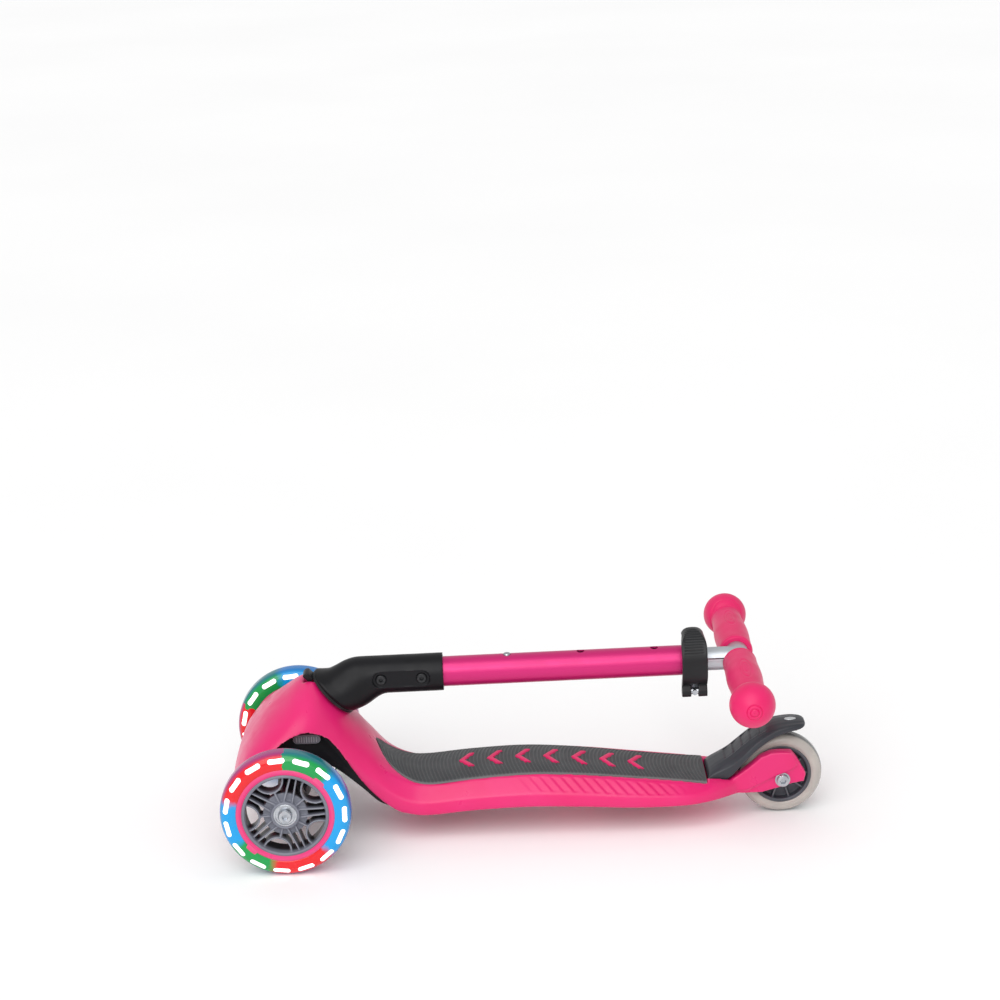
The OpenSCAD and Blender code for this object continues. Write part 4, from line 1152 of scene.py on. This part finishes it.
@dataclass
class Handlebar:
    """The silver inner tube and crossbar, the two ball-ended grips and the height button."""

    layout: Layout
    r: float = 11.1
    wall: float = 1.6
    bar_at: float = 370.0
    half_w: float = 143.0
    bare: float = 14.0
    ball_r: float = 21.0
    tube_low: float = 92.0
    snap_at: float = 150.5
    tube_r: float = 14.3

    def bar(self) -> None:
        """Makes the inner tube and the crossbar that it is welded to."""
        place = self.layout.column()
        tube = Shape().turn([[self.r - self.wall, self.tube_low], [self.r, self.tube_low],
                             [self.r, self.bar_at], [self.r - self.wall, self.bar_at]], place, 96)
        tube = tube.object("handlebar_tube")
        across = Place(tuple(place.out([0, 0, self.bar_at])), (0, 1, 0), place.x)
        end = self.half_w - 14
        solid = Shape().turn([[0, -end], [self.r, -end], [self.r, end], [0, end]], across, 96)
        snap = Place(tuple(place.out([0, 0, self.snap_at])), place.x, place.z)
        hole = Shape().turn([[0, 3], [3.45, 3], [3.45, 30], [0, 30]], snap, 40)
        carve(tube, solid, hole)
        show(tube, "handlebar", ALUMINIUM, Slot.ALUMINIUM, "inner_tube")
        bar = Shape().turn([[self.r - self.wall, -end], [self.r, -end], [self.r, end],
                            [self.r - self.wall, end]], across, 96).object("cross_tube")
        show(bar, "handlebar", ALUMINIUM_BAR, Slot.ALUMINIUM, "crossbar")
        pin = Shape().turn([[0, 4], [3.35, 4], [3.35, self.tube_r + 0.3], [2.9, self.tube_r + 1.0],
                            [1.8, self.tube_r + 1.4], [0, self.tube_r + 1.4]], snap, 48)
        show(pin.object("height_pin"), "height_button", ZINC_STEEL, Slot.STEEL, "snap_button")

    def profile(self) -> Array:
        """The grip's outline as (radius, place from the middle)."""
        end, ball = self.half_w, self.ball_r
        neck = self.r + 3.2
        keys = [[neck + 1.0, self.bare + 1.2], [neck + 1.7, self.bare + 3],
                [neck + 1.5, self.bare + 8],
                [neck + 1.7, self.bare + 20], [neck + 2.4, self.bare + 42],
                [neck + 1.8, self.bare + 58], [neck + 0.3, end - ball - 24],
                [neck - 0.1, end - ball - 19], [neck + 0.9, end - ball - 16]]
        body = spline(keys, 9)
        start = math.degrees(math.asin(-16.0 / ball))
        sphere = np.array([[ball * math.cos(math.radians(a)),
                            end - ball + ball * math.sin(math.radians(a))]
                           for a in np.linspace(start, 89.6, 74)])
        sphere = sphere[sphere[:, 0] > 0]
        head = [[self.r + 0.1, self.bare], [neck + 0.2, self.bare], [neck + 0.7, self.bare + 0.4]]
        return np.vstack([head, body, sphere[sphere[:, 1] > body[-1, 1] + 0.4]])

    def grip(self, side: int) -> None:
        """Makes one grip, with its oval, its seam and the rings on its cap."""
        place = self.layout.column()
        at = Place(tuple(place.out([0, 0, self.bar_at])), (0, side, 0), place.x)
        outline = self.profile()
        lengths = np.r_[0, np.cumsum(np.hypot(*np.diff(outline, axis=0).T))]
        even = np.arange(0, lengths[-1], 0.55)
        outline = np.stack([np.interp(even, lengths, outline[:, i]) for i in (0, 1)], 1)
        name = "grip_left_moulding" if side > 0 else "grip_right_moulding"
        outline[-1] = [0.0, self.half_w]
        bore = [[0.0, self.half_w - 14], [self.r + 0.1, self.half_w - 14],
                [self.r + 0.1, self.bare]]
        grip = Shape().turn(outline, at, 176, closed=False).turn(bore, at, 176, closed=False)
        grip = grip.object(name)

        def details(points: Array, facing: Array) -> Array:
            """Depth of the grooves and rings moulded into the grip."""
            local = at.back(points)
            radius = np.hypot(local[:, 0], local[:, 1])
            along = local[:, 2] - self.bare
            angle = np.arctan2(side * local[:, 1], local[:, 0])
            reach = np.degrees(np.abs(angle)) * math.pi / 180 * (self.r + 4)
            oval = np.abs(np.hypot(reach / 4.8, (along - 55) / 20.0) - 1) * 5.0
            inner = np.abs(np.hypot(reach / 2.4, (along - 55) / 10.0) - 1) * 3.0
            waist = np.abs(along - (self.half_w - self.bare - 2 * self.ball_r + 9
                                    + 3.2 * np.cos(2 * angle)))
            collar = np.abs(along - 4.6 - 0.8 * np.cos(angle))
            cap = along > self.half_w - self.bare - 6
            rings = sum(groove(np.abs(radius - q), 1.3) for q in (0.0, 4.0, 7.2))
            outer = radius > self.r + 1
            depth = 0.5 * groove(oval, 1.4) + 0.3 * groove(inner, 1.2) + 0.55 * groove(waist, 1.5)
            depth += 0.4 * groove(collar, 1.3)
            return -(depth * outer + 0.9 * rings * cap)

        push(grip, details)
        node = "grip_left" if side > 0 else "grip_right"
        show(grip, "handlebar", PINK_RUBBER, Slot.PINK_RUBBER, node, sharp=60)

    def build(self) -> None:
        """Makes every piece of the handlebar."""
        self.bar()
        for side in (-1, 1):
            self.grip(side)


# ---------- wheels ----------

@dataclass
class FrontWheel:
    """A front wheel: grey spoked core, pink band, lit tyre, lamp windows, bearings, bolt."""

    layout: Layout
    side: int
    r: float = 60.5
    half_w: float = 12.0
    core_r: float = 40.3
    band_r: float = 45.3
    shoulder: float = 9.0
    windows: int = 15
    axle_r: float = 4.0
    bearing_r: float = 11.0
    bearing_out: float = 10.5
    voxel: float = 0.7

    @property
    def hand(self) -> str:
        """Left or right, as node names have it."""
        return "left" if self.side > 0 else "right"

    @property
    def place(self) -> Place:
        """The wheel's frame, Z outward."""
        return self.layout.wheel("wheel_" + self.hand, self.side)

    def tyre_side(self, radius: float) -> float:
        """Half thickness of the tyre at a radius."""
        middle = self.r - self.shoulder
        reach = max(self.shoulder ** 2 - max(radius - middle, 0) ** 2, 0)
        return self.half_w - self.shoulder + math.sqrt(reach)

    def tyre(self) -> None:
        """Makes the tyre, and the lamp windows let into both of its shoulders."""
        middle = self.r - self.shoulder
        edge = [[self.band_r + 0.05, self.half_w - 0.9], [self.band_r + 0.7, self.half_w - 0.4],
                [middle - 2.5, self.half_w - 0.15]]
        edge += [[middle + self.shoulder * math.cos(math.radians(a)), self.half_w - self.shoulder
                  + self.shoulder * math.sin(math.radians(a))] for a in range(88, 0, -6)]
        half = np.array(edge)
        profile = np.vstack([half, [[self.r, 0]], half[::-1] * [1, -1]])
        tyre = Shape().turn(profile, self.place, 160).object("tyre_" + self.hand + "_cast")
        centre = tuple(float(c) for c in self.layout.at(f"wheel_{self.hand}_spin"))
        finish = LitPolyurethane("lit_polyurethane_" + self.hand, "#00a3ea", "#163a8f", 0.22,
                                 coat=0.3, grain_mm=2.5, grain_depth_mm=0.01, centre_mm=centre,
                                 turn_deg=0.0 if self.side > 0 else -65.0)
        show(tyre, "wheel_" + self.hand, finish, Slot.LIT_TYRE, "tyre_" + self.hand, sharp=50)
        self.lamps()

    def lamps(self) -> None:
        """Makes the rounded windows, which follow the tyre's shoulder."""
        made = Shape()
        inner, outer, reach = self.r - 7.9, self.r - 3.4, math.radians(248 / self.windows / 2)
        mean = (inner + outer) / 2
        flat = capsule(2 * reach * mean, outer - inner, 10)
        flat = np.array(flat) * [1, 0.995]
        for face in (-1, 1):
            for k in range(self.windows):
                turn = math.tau * (k + 0.5) / self.windows
                rings = []
                for grow, rise in ((1.0, -1.0), (1.0, 0.05), (0.93, 0.16), (0.6, 0.2), (0.25, 0.2)):
                    a = turn + flat[:, 0] * grow / mean
                    q = mean + flat[:, 1] * grow
                    z = np.array([self.tyre_side(v) for v in q]) + rise
                    rings.append(np.stack([q * np.cos(a), q * np.sin(a), face * z], 1))
                made.loft(np.array(rings), self.place)
        show(made.object("lamp_windows_" + self.hand), "wheel_" + self.hand, LAMP_WINDOW,
             Slot.WINDOW, "light_windows_" + self.hand, sharp=50)

    def band(self) -> None:
        """Makes the pink band round the core, with its two lugs."""
        w, inside, outside = self.half_w, self.core_r + 0.03, self.band_r
        profile = [[inside, -w + 1], [outside, -w + 1], [outside, w - 1.1],
                   [outside - 0.5, w - 0.7],
                   [inside + 1.3, w - 0.7], [inside + 0.9, w - 1.0], [inside, w - 1.2]]
        band = Shape().turn(profile, self.place, 160).object("band")
        lugs = []
        for a in (45, 225):
            # the lugs reach out over the tyre's inner edge
            outline = [[outside - 2.2, -6.4], [outside + 2.0, -5.4], [outside + 2.5, -4.6],
                       [outside + 2.8, 0], [outside + 2.5, 4.6], [outside + 2.0, 5.4],
                       [outside - 2.2, 6.4]]
            c, s = math.cos(math.radians(a)), math.sin(math.radians(a))
            spun = [[x * c - y * s, x * s + y * c] for x, y in outline]
            lug = Shape().prism(spun, w - 1.4, w - 0.15, self.place)
            lugs.append(bevel(lug.object("lug"), 0.4))
        show(joined([band, *lugs], f"rim_band_{self.hand}_moulding"), "wheel_" + self.hand,
             PINK_BAND, Slot.PINK_PLASTIC, "rim_band_" + self.hand)

    def bar(self, made: Shape, points: Sequence[Sequence[float]], width: float, low: float,
            high: float, spin: float) -> None:
        """Adds an upright rib that follows points (X, Y), turned about the axle."""
        p = np.asarray(points, float)
        way = np.gradient(p, axis=0)
        way /= np.linalg.norm(way, axis=1)[:, None]
        normal = np.stack([-way[:, 1], way[:, 0]], 1) * width / 2
        c, s = math.cos(spin), math.sin(spin)
        turn = np.array([[c, s], [-s, c]])
        rings = []
        for at, off in zip(p, normal):
            a, b = (at + off) @ turn, (at - off) @ turn
            rings.append([[*a, low], [*b, low], [*b, high], [*a, high]])
        made.loft(np.array(rings), self.place)

    def core(self) -> None:
        """Makes the core: rim, hub with ten pockets, five spoke pairs and bowed ribs."""
        w, r = self.half_w, self.core_r
        hub_r, disc_r = self.bearing_r + 2.3, 20.6
        made = Shape()
        made.turn([[r - 3.2, -w + 2], [r, -w + 2], [r, w - 1.2], [r - 0.6, w - 0.5],
                   [r - 2.4, w - 0.5], [r - 3.2, w - 1.4]], self.place, 128)
        made.turn([[self.bearing_r - 0.15, -self.bearing_out], [hub_r, -self.bearing_out],
                   [hub_r, self.bearing_out - 0.3], [hub_r - 0.6, self.bearing_out + 0.3],
                   [self.bearing_r - 0.15, self.bearing_out + 0.3]], self.place, 96)
        made.turn([[hub_r - 1, -2.0], [disc_r, -2.0], [disc_r, 6.0], [hub_r - 1, 6.0]],
                  self.place, 96)
        for k in range(5):
            spin = math.tau * k / 5 + math.radians(40)
            for s in (-1, 1):
                rails = [[hub_r - 1, s * 3.9], [disc_r, s * 3.5], [28, s * 3.2], [r - 2, s * 2.9]]
                self.bar(made, spline(rails, 4), 1.6, -6.5, 8.8, spin)
            half = math.tau / 10
            bow = [[38.4 - 14.4 * math.cos(q), 13.2 * math.sin(q)]
                   for q in np.linspace(-1.42, 1.42, 23)]
            self.bar(made, bow, 1.7, -5.5, 8.6, spin + half)
            self.bar(made, [[hub_r - 1, 0], [24.4, 0]], 1.7, -5.5, 8.6, spin + half)
        core = made.object(f"wheel_core_{self.hand}_moulding")
        melt(core, self.voxel, 3)
        # The core's finish paints shade into the openings below this outer face.
        face = abs(float(self.layout.at(f"wheel_{self.hand}_spin")[1])) + 8.8
        finish = DishedNylon("nylon_grey_" + self.hand, "#757783", "#696b77", 0.4, grain_mm=0.5,
                             grain_depth_mm=0.02, drift_mm=20, edge_wear_and_painted_highlight=0.22, face_mm=face,
                             side=float(self.side))
        show(core, "wheel_" + self.hand, finish, Slot.CORE, "wheel_core_" + self.hand, sharp=60)

    def bearings(self) -> None:
        """Makes the two shielded bearings and the bolt with its washer."""
        b, a = self.bearing_r, self.axle_r
        made = Shape()
        for face in (-1, 1):
            o, i = face * self.bearing_out, face * (self.bearing_out - 7)
            s = -face
            made.turn([[a + 0.05, i], [b - 0.02, i], [b - 0.02, o + 0.4 * s], [b - 0.5, o],
                       [b - 1.9, o], [b - 2.1, o + 0.7 * s], [a + 2.5, o + 0.7 * s],
                       [a + 2.2, o], [a + 0.4, o], [a + 0.05, o + 0.3 * s]], self.place, 96)
        show(made.object(f"bearings_{self.hand}_shielded"), "wheel_" + self.hand, ZINC_STEEL,
             Slot.STEEL, "bearings_" + self.hand)
        o = self.bearing_out + 0.3
        bolt = Shape().turn([[0, -self.bearing_out - 20], [a, -self.bearing_out - 20], [a, o + 0.2],
                             [6.0, o], [6.2, o + 0.3], [6.2, o + 3.2], [5.6, o + 4.0],
                             [0, o + 4.0]], self.place, 64).object(f"axle_bolt_{self.hand}_socket")
        carve(bolt, socket(self.place, 3.2, o + 1.4, o + 9))
        show(bolt, "truck", ZINC_STEEL, Slot.STEEL, "axle_bolt_" + self.hand, sharp=35)

    def build(self) -> None:
        """Makes every piece of the wheel."""
        self.core()
        self.band()
        self.tyre()
        self.bearings()


@dataclass
class RearWheel:
    """The rear wheel: milky tyre, grey core, bearings and the axle's bolt."""

    layout: Layout
    r: float = 40.0
    half_w: float = 11.0
    core_r: float = 29.0
    bearing_r: float = 11.0
    bearing_out: float = 10.5
    fork_out: float = 25.0

    def tyre(self, place: Place) -> None:
        """Makes the tyre; its finish greys a thin line round the outer edge of its tread."""
        edge = [[self.core_r + 0.05, self.half_w - 1.0], [self.core_r + 0.8, self.half_w - 0.5]]
        edge += [[self.r - 9 + 9 * math.cos(math.radians(a)), self.half_w - 9
                  + 9 * math.sin(math.radians(a))] for a in range(80, 0, -6)]
        half = np.array(edge)
        profile = np.vstack([half, [[self.r, 0]], half[::-1] * [1, -1]])
        centre = tuple(float(c) for c in self.layout.at("wheel_rear_spin"))
        finish = ClearPolyurethane("milky_polyurethane", "#bdb7b0", "#b3ada8", 0.22, coat=0.2,
                                   grain_mm=2.0, grain_depth_mm=0.01, drift_mm=15,
                                   edge_wear_and_painted_highlight=0.0, centre_mm=centre)
        show(Shape().turn(profile, place, 144).object("rear_tyre_cast"), "wheel_rear", finish,
             Slot.CLEAR_TYRE, "rear_tyre", sharp=50)

    def core(self, place: Place) -> None:
        """Makes the core: rim, hub, a solid web and ten ribs."""
        r, w, hub = self.core_r, self.half_w, self.bearing_r + 2.4
        made = Shape()
        made.turn([[r - 3.4, -w + 2], [r, -w + 2], [r, w - 1.2], [r - 0.5, w - 0.7],
                   [r - 2.8, w - 0.7], [r - 3.4, w - 1.4]], place, 112)
        made.turn([[self.bearing_r - 0.1, -self.bearing_out], [hub, -self.bearing_out],
                   [hub, self.bearing_out], [self.bearing_r - 0.1, self.bearing_out]], place, 96)
        made.turn([[hub - 0.5, -2.5], [r - 3, -2.5], [r - 3, 2.5], [hub - 0.5, 2.5]], place, 96)
        for k in range(10):
            a = math.tau * k / 10
            c, s = math.cos(a), math.sin(a)
            ribs = [[x * c - y * s, x * s + y * c] for x, y in
                    ((hub - 0.5, -0.9), (r - 3, -0.9), (r - 3, 0.9), (hub - 0.5, 0.9))]
            made.prism(ribs, -8, 8, place)
        core = melt(made.object("rear_core_moulding"), 0.7, 3)
        show(core, "wheel_rear", DARK_NYLON, Slot.GREY, "rear_wheel_core", sharp=60)

    def hardware(self, place: Place) -> None:
        """Makes the bearings and the two ends of the axle's bolt."""
        b, a = self.bearing_r, 4.0
        made = Shape()
        for face in (-1, 1):
            o, i = face * self.bearing_out, face * (self.bearing_out - 7)
            s = -face
            made.turn([[a + 0.05, i], [b - 0.02, i], [b - 0.02, o + 0.4 * s], [b - 0.5, o],
                       [b - 1.9, o], [b - 2.1, o + 0.7 * s], [a + 2.5, o + 0.7 * s],
                       [a + 2.2, o], [a + 0.4, o], [a + 0.05, o + 0.3 * s]], place, 96)
        show(made.object("rear_bearings_shielded"), "wheel_rear", ZINC_STEEL, Slot.STEEL,
             "rear_bearings")
        o = self.fork_out - 2.2
        bolt = Shape().turn([[0, -self.fork_out - 6], [a, -self.fork_out - 6], [a, o], [7.0, o],
                             [7.2, o + 0.4], [7.2, o + 1.0], [6.0, o + 1.2], [5.9, o + 4.4],
                             [5.2, o + 5.2], [0, o + 5.2]], place, 64)
        bolt = bolt.object("rear_bolt_socket")
        carve(bolt, socket(place, 3.2, o + 2.6, o + 12))
        show(bolt, "deck", ZINC_STEEL, Slot.STEEL, "rear_axle_bolt", sharp=35)
        nut = Shape().prism(arc(0, 0, 6.7, 0, 300, 6), -self.fork_out - 6.4, -self.fork_out + 1.8,
                            place)
        show(bevel(nut.object("rear_nut_hexagon"), 0.5), "deck", ZINC_STEEL, Slot.STEEL,
             "rear_axle_nut", sharp=35)

    def build(self) -> None:
        """Makes every piece of the rear wheel."""
        place = self.layout.wheel("wheel_rear")
        self.tyre(place)
        self.core(place)
        self.hardware(place)


# ---------- brake ----------

@dataclass
class Brake:
    """The fender that presses on the rear wheel, with its step ridges and its badge."""

    layout: Layout
    half_w: float = 23.5
    wall: float = 3.0

    def keys(self) -> Array:
        """Place, crown, crease, lower edge, half width of the top and over all."""
        w = self.half_w
        rows = spline([[71.2, 4.5, 3.0, -2.2, 14, w], [69.0, 9.0, 5.0, -2.4, 14, w],
                       [65, 12.5, 7.5, -2.2, 14, w], [57, 17.6, 11.2, 0.1, 14, w],
                       [49, 23, 15.5, 5, 13.5, w], [42, 29, 21, 12.5, 13.2, w],
                       [34, 35.6, 28.4, 21.5, 13, w], [25, 42, 36.6, 29.8, 12.6, w - 1],
                       [14, 47.8, 43.6, 37.8, 12, w - 2.6], [4, 51.2, 47.8, 42.6, 11.4, w - 4.4],
                       [-7.5, 53, 50.2, 45.8, 10.6, w - 6.4], [-16, 53.2, 50.8, 47, 9.6, w - 8.6],
                       [-20.5, 52.6, 50.8, 48, 8, w - 11.4], [-22.8, 51.6, 50.4, 49, 5.4, w - 15],
                       [-23.5, 50.6, 50.3, 49.8, 3, w - 19]], 7)
        hub = self.layout.at("wheel_rear_spin")
        rows[:, 0] += hub[0]
        rows[:, 1:4] += hub[2]
        return rows

    def ring(self, row: Array) -> Array:
        """One cross-section: the outside from edge to edge, then the hollow underside."""
        x, crown, crease, low, top, half = row
        hub = self.layout.at("wheel_rear_spin")
        right = [[half, low], [half + 0.1, (low * 0.4 + crease * 0.6)], [half - 0.3, crease],
                 [half - 1.6, crease + 1.2], [(half + top) / 2, (crease * 0.45 + crown * 0.55)],
                 [top, crown - 1.0], [top * 0.62, crown - 0.25]]
        wheel = math.sqrt(max(44.6 ** 2 - (x - hub[0]) ** 2, 0)) + hub[2]
        t = self.wall
        roof = min(max(wheel, low + 0.4), crown - t)
        foot = min(max(low + 0.3, roof - 6), roof)
        inside = [[half - t, low], [half - t - 0.4, foot], [half - t - 1.6, roof],
                  [(half - t) * 0.45, roof + 0.2]]
        outer = right + [[0, crown]] + [[-y, z] for y, z in right[::-1]]
        inner = [[-y, z] for y, z in inside] + [[0, roof + 0.3]] + inside[::-1]
        ring = outer + inner
        return np.array([[x, y, z] for y, z in ring])

    def steps(self, at: Array, facing: Array) -> Array:
        """Height of the step ridges on the slope of the fender."""
        x, y, z = at.T
        hub = self.layout.at("wheel_rear_spin")
        from_hub = x - hub[0]
        line = (from_hub - 14) / 8.2
        saw = line - np.floor(line)
        notch = saw * (1 - smoothstep(0.84, 1.0, saw))
        inside = (smoothstep(13, 14, from_hub) * (1 - smoothstep(54, 55, from_hub))
                  * (1 - smoothstep(11.5, 12.5, np.abs(y))) * smoothstep(0.3, 0.5, facing[:, 2])
                  * (z > 50))
        return -1.5 * notch * inside

    def build(self) -> None:
        """Makes the fender and its badge."""
        fender = Shape().loft(np.array([self.ring(row) for row in self.keys()]))
        fender = fender.object("brake_fender_moulding")
        melt(fender, 0.7, 2)
        push(fender, self.steps)
        show(fender, "brake", SLATE_PLASTIC, Slot.GREY, "brake_fender", sharp=60)
        self.badge()

    def badge(self) -> None:
        """Makes the plain oval inlay near the tail."""
        hub = self.layout.at("wheel_rear_spin")
        row = self.keys()
        x = hub[0] - 9.5
        z = float(np.interp(-x, -row[:, 0], row[:, 1]))
        outline = [[5.6 * math.cos(q), 3.4 * math.sin(q)] for q in
                   np.linspace(0, math.tau, 40, endpoint=False)]
        place = Place((x, 0, z - 0.55), (0.02, 0, 1), (1, 0, -0.02))
        badge = Shape().prism(outline, 0, 0.8, place).object("badge_oval")
        show(bevel(badge, 0.25, 3), "brake", BADGE, Slot.BADGE, "brake_badge")


# ---------- steering ----------

@dataclass
class Steering:
    """The block under the nose, its lock button, and the leaning truck."""

    layout: Layout
    half_w: float = 46.0
    hub_r: float = 17.0
    hub_top: float = 13.0
    beam_end: float = 96.2

    def block(self, deck: Deck) -> None:
        """Makes the steering base, which follows the arch above it."""
        x0 = deck.front_x
        keys = [[-118, 20], [-106, 27.5], [-94, 36], [-84, 44], [-70, 60], [-59, 77.5],
                [-46, 98], [-34, 110], [-18, 115.5], [0, 111], [14, 101.5], [25, 90.4]]
        low = [[-93, 35.5], [-82.4, 41], [-68.4, 54.5], [-48.5, 72], [-34, 81], [-16, 86],
               [6, 88], [24, 89.6]]
        upper = spline([[x0 + x, z - 0.15] for x, z in keys[2:]], 6)
        lower = spline([[x0 + x, z] for x, z in low], 6)
        outline = upper.tolist() + lower[::-1].tolist()
        base = side_plate(outline, -self.half_w, self.half_w).object("steering_block")
        button = self.button_place(deck)
        carve(base, Shape().prism(capsule(26.6, 9.6, 16), -60, 60, button))
        bevel(base, 1.2, 3, 45)
        steer = self.layout.steering()
        boss = Shape().turn([[0, self.hub_top + 0.5], [self.hub_r - 0.8, self.hub_top + 0.5],
                             [self.hub_r, self.hub_top + 1.2], [self.hub_r, 34], [0, 34]],
                            steer, 64)
        show(joined([base, boss.object("boss")], "steering_base_moulding"), "deck", BLACK_NYLON,
             Slot.BLACK, "steering_base")

    def button_place(self, deck: Deck) -> Place:
        """Where the lock button slides through the base."""
        return Place((deck.front_x - 18, 0, 107), (0, -1, 0), (1, 0, 0))

    def button(self, deck: Deck) -> None:
        """Makes the lock button, with upright ribs on both of its ends."""
        place = self.button_place(deck)
        low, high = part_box("steering_lock_button")
        z0, z1 = -high[1] / MM, -low[1] / MM
        made = bevel(Shape().prism(capsule(26, 9, 20), z0, z1, place).object("lock"), 1.2, 3)
        ribs = []
        for k in range(-4, 5):
            tall = 3.0 - 0.12 * abs(k)
            for z in (z0, z1):
                rib = Shape().box((2.3 * k - 0.5, -tall, z - 0.35), (2.3 * k + 0.5, tall, z + 0.35),
                                  place)
                ribs.append(bevel(rib.object("rib"), 0.25))
        show(joined([made, *ribs], "lock_button_ribbed"), "lock_button", BUTTON_NYLON, Slot.GREY,
             "steering_lock_button")

    def truck(self) -> None:
        """Makes the truck: hub, beam and the two stubs that the wheels turn on."""
        steer = self.layout.steering()
        axle = self.layout.at("wheel_left_spin")
        middle = (float(axle[0]), 0.0, float(axle[2]))
        across = Place(middle, (0, 1, 0), (1, 0, 0))
        made = Shape()
        made.turn([[0, -self.hub_top], [self.hub_r, -self.hub_top], [self.hub_r, self.hub_top],
                   [0, self.hub_top]], steer, 64)
        made.turn([[0, -self.beam_end], [9, -self.beam_end], [9, self.beam_end],
                   [0, self.beam_end]], across, 64)
        web = [[-20, -8], [-20, 4], [-10, 11], [8, 11], [12, 4], [12, -6], [6, -10], [-14, -12]]
        for side in (-1, 1):
            facing = Place(middle, (0, side, 0), (1, 0, 0))
            rings = []
            for y, grow in ((14, 1.0), (34, 1.0), (50, 0.93), (62, 0.8)):
                rings.append([[a * grow, -side * b * grow, y] for a, b in web])
            made.loft(np.array(rings), facing)
        truck = melt(made.object("truck_moulding"), 0.9, 4)
        show(truck, "truck", BLACK_NYLON, Slot.BLACK, "truck", sharp=60)

    def build(self, deck: Deck) -> None:
        """Makes every piece of the steering."""
        self.block(deck)
        self.button(deck)
        self.truck()


# ---------- small CAD pieces, studio and assembly ----------

KEPT_NODES: dict[str, Finish] = {
    "fold_pivot_bolt": ZINC_STEEL, "fold_pivot_nut": ZINC_STEEL, "fold_lock_plunger": ZINC_STEEL,
    "fold_button_spring": ZINC_STEEL, "base_screws": ZINC_STEEL, "steering_kingpin": ZINC_STEEL,
    "kingpin_nut": ZINC_STEEL, "steering_springs": ZINC_STEEL, "brake_pin": ZINC_STEEL,
    "magnet_sleeve_left": ZINC_STEEL, "magnet_sleeve_right": ZINC_STEEL,
    "coil_ring_left": COPPER, "coil_ring_right": COPPER, "rear_spacers": ZINC_STEEL,
    "brake_spring": ZINC_STEEL, "tube_bush": BLACK_NYLON, "clamp_bolt": ZINC_STEEL,
    "clamp_barrel": ZINC_STEEL, "snap_spring": ZINC_STEEL}


def dress_kept(nodes: dict[str, Object]) -> None:
    """Gives the CAD nodes that stay their finishes."""
    for name, finish in KEPT_NODES.items():
        slots = nodes[name].data.materials
        slots.clear()
        slots.append(finish.build())
        LOG.info("%s: kept as %s", name, finish.name)


@dataclass
class Studio:
    """A pale floor, a soft sky with one strip lamp, and the camera."""

    camera_mm: tuple[float, float, float] = (39.24, 2229.81, 1003.84)
    lens_mm: float = 90.14
    yaw: float = 0.54
    pitch: float = 17.03
    roll: float = -1.56
    surround: float = 0.64
    sky_energy: float = 1.6
    sky_spread: float = 60.0
    sky_towards: tuple[float, float, float] = (-0.25, -0.62, -0.75)
    strip_at: tuple[float, float, float] = (0.1, 1.5, 0.8)
    strip_size: float = 0.9
    strip_power: float = 3.5

    def camera(self) -> None:
        """Makes the camera."""
        a, e, q = (math.radians(v) for v in (self.yaw, self.pitch, self.roll))
        look = Vector((-math.sin(a) * math.cos(e), -math.cos(a) * math.cos(e), -math.sin(e)))
        right = look.cross(Vector((0, 0, 1))).normalized()
        up = right.cross(look)
        side = right * math.cos(q) + up * math.sin(q)
        top = up * math.cos(q) - right * math.sin(q)
        data = bpy.data.cameras.new("camera")
        data.lens, data.sensor_width = self.lens_mm, 36.0
        data.clip_start, data.clip_end = 0.05, 100.0
        made = bpy.data.objects.new("camera", data)
        made.matrix_world = Matrix.Translation(Vector(self.camera_mm) * MM) @ Matrix(
            (side, top, -look)).transposed().to_4x4()
        bpy.context.scene.collection.objects.link(made)
        bpy.context.scene.camera = made

    def floor(self) -> None:
        """Makes the floor, far larger than the view."""
        size = 30000.0
        floor = Shape().box((-size, -size, -20), (size, size, -0.05)).object("floor")
        floor.data.materials.append(FLOOR_PAINT.build())

    def lamp(self, name: str, at: Sequence[float], size: float, power: float) -> None:
        """Hangs a square soft lamp at a place in metres, aimed at the scooter."""
        data = bpy.data.lights.new(name, "AREA")
        data.size, data.energy = size, power
        made = bpy.data.objects.new(name, data)
        made.location = at
        towards = Vector((0, 0, 0.08)) - Vector(at)
        made.rotation_euler = towards.to_track_quat("-Z", "Y").to_euler()
        bpy.context.scene.collection.objects.link(made)

    def lights(self) -> None:
        """Makes a bright even surround, a broad soft key from above and one strip lamp."""
        world = bpy.data.worlds.new("studio")
        bpy.context.scene.world = world
        world.use_nodes = True
        world.node_tree.nodes["Background"].inputs[0].default_value = (1.0, 1.0, 1.0, 1.0)
        world.node_tree.nodes["Background"].inputs[1].default_value = self.surround
        data = bpy.data.lights.new("sky", "SUN")
        data.energy, data.angle = self.sky_energy, math.radians(self.sky_spread)
        sky = bpy.data.objects.new("sky", data)
        sky.rotation_euler = Vector(self.sky_towards).to_track_quat("-Z", "Y").to_euler()
        bpy.context.scene.collection.objects.link(sky)
        self.lamp("strip", self.strip_at, self.strip_size, self.strip_power)
        bpy.context.scene.view_settings.view_transform = "Standard"

    def build(self) -> None:
        """Makes the camera, the floor and the lights."""
        self.camera()
        self.floor()
        self.lights()


def main() -> None:
    """Builds the scooter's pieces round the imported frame."""
    logging.basicConfig(level=logging.INFO, format="%(message)s")
    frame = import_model()
    layout = Layout.read(frame)
    Studio().build()
    deck = Deck(layout)
    deck.build()
    Steering(layout).build(deck)
    Column(layout).build()
    Handlebar(layout).build()
    for side in (-1, 1):
        FrontWheel(layout, side).build()
    RearWheel(layout).build()
    Brake(layout).build()
    dress_kept(frame["nodes"])


if __name__ == "__main__":
    main()
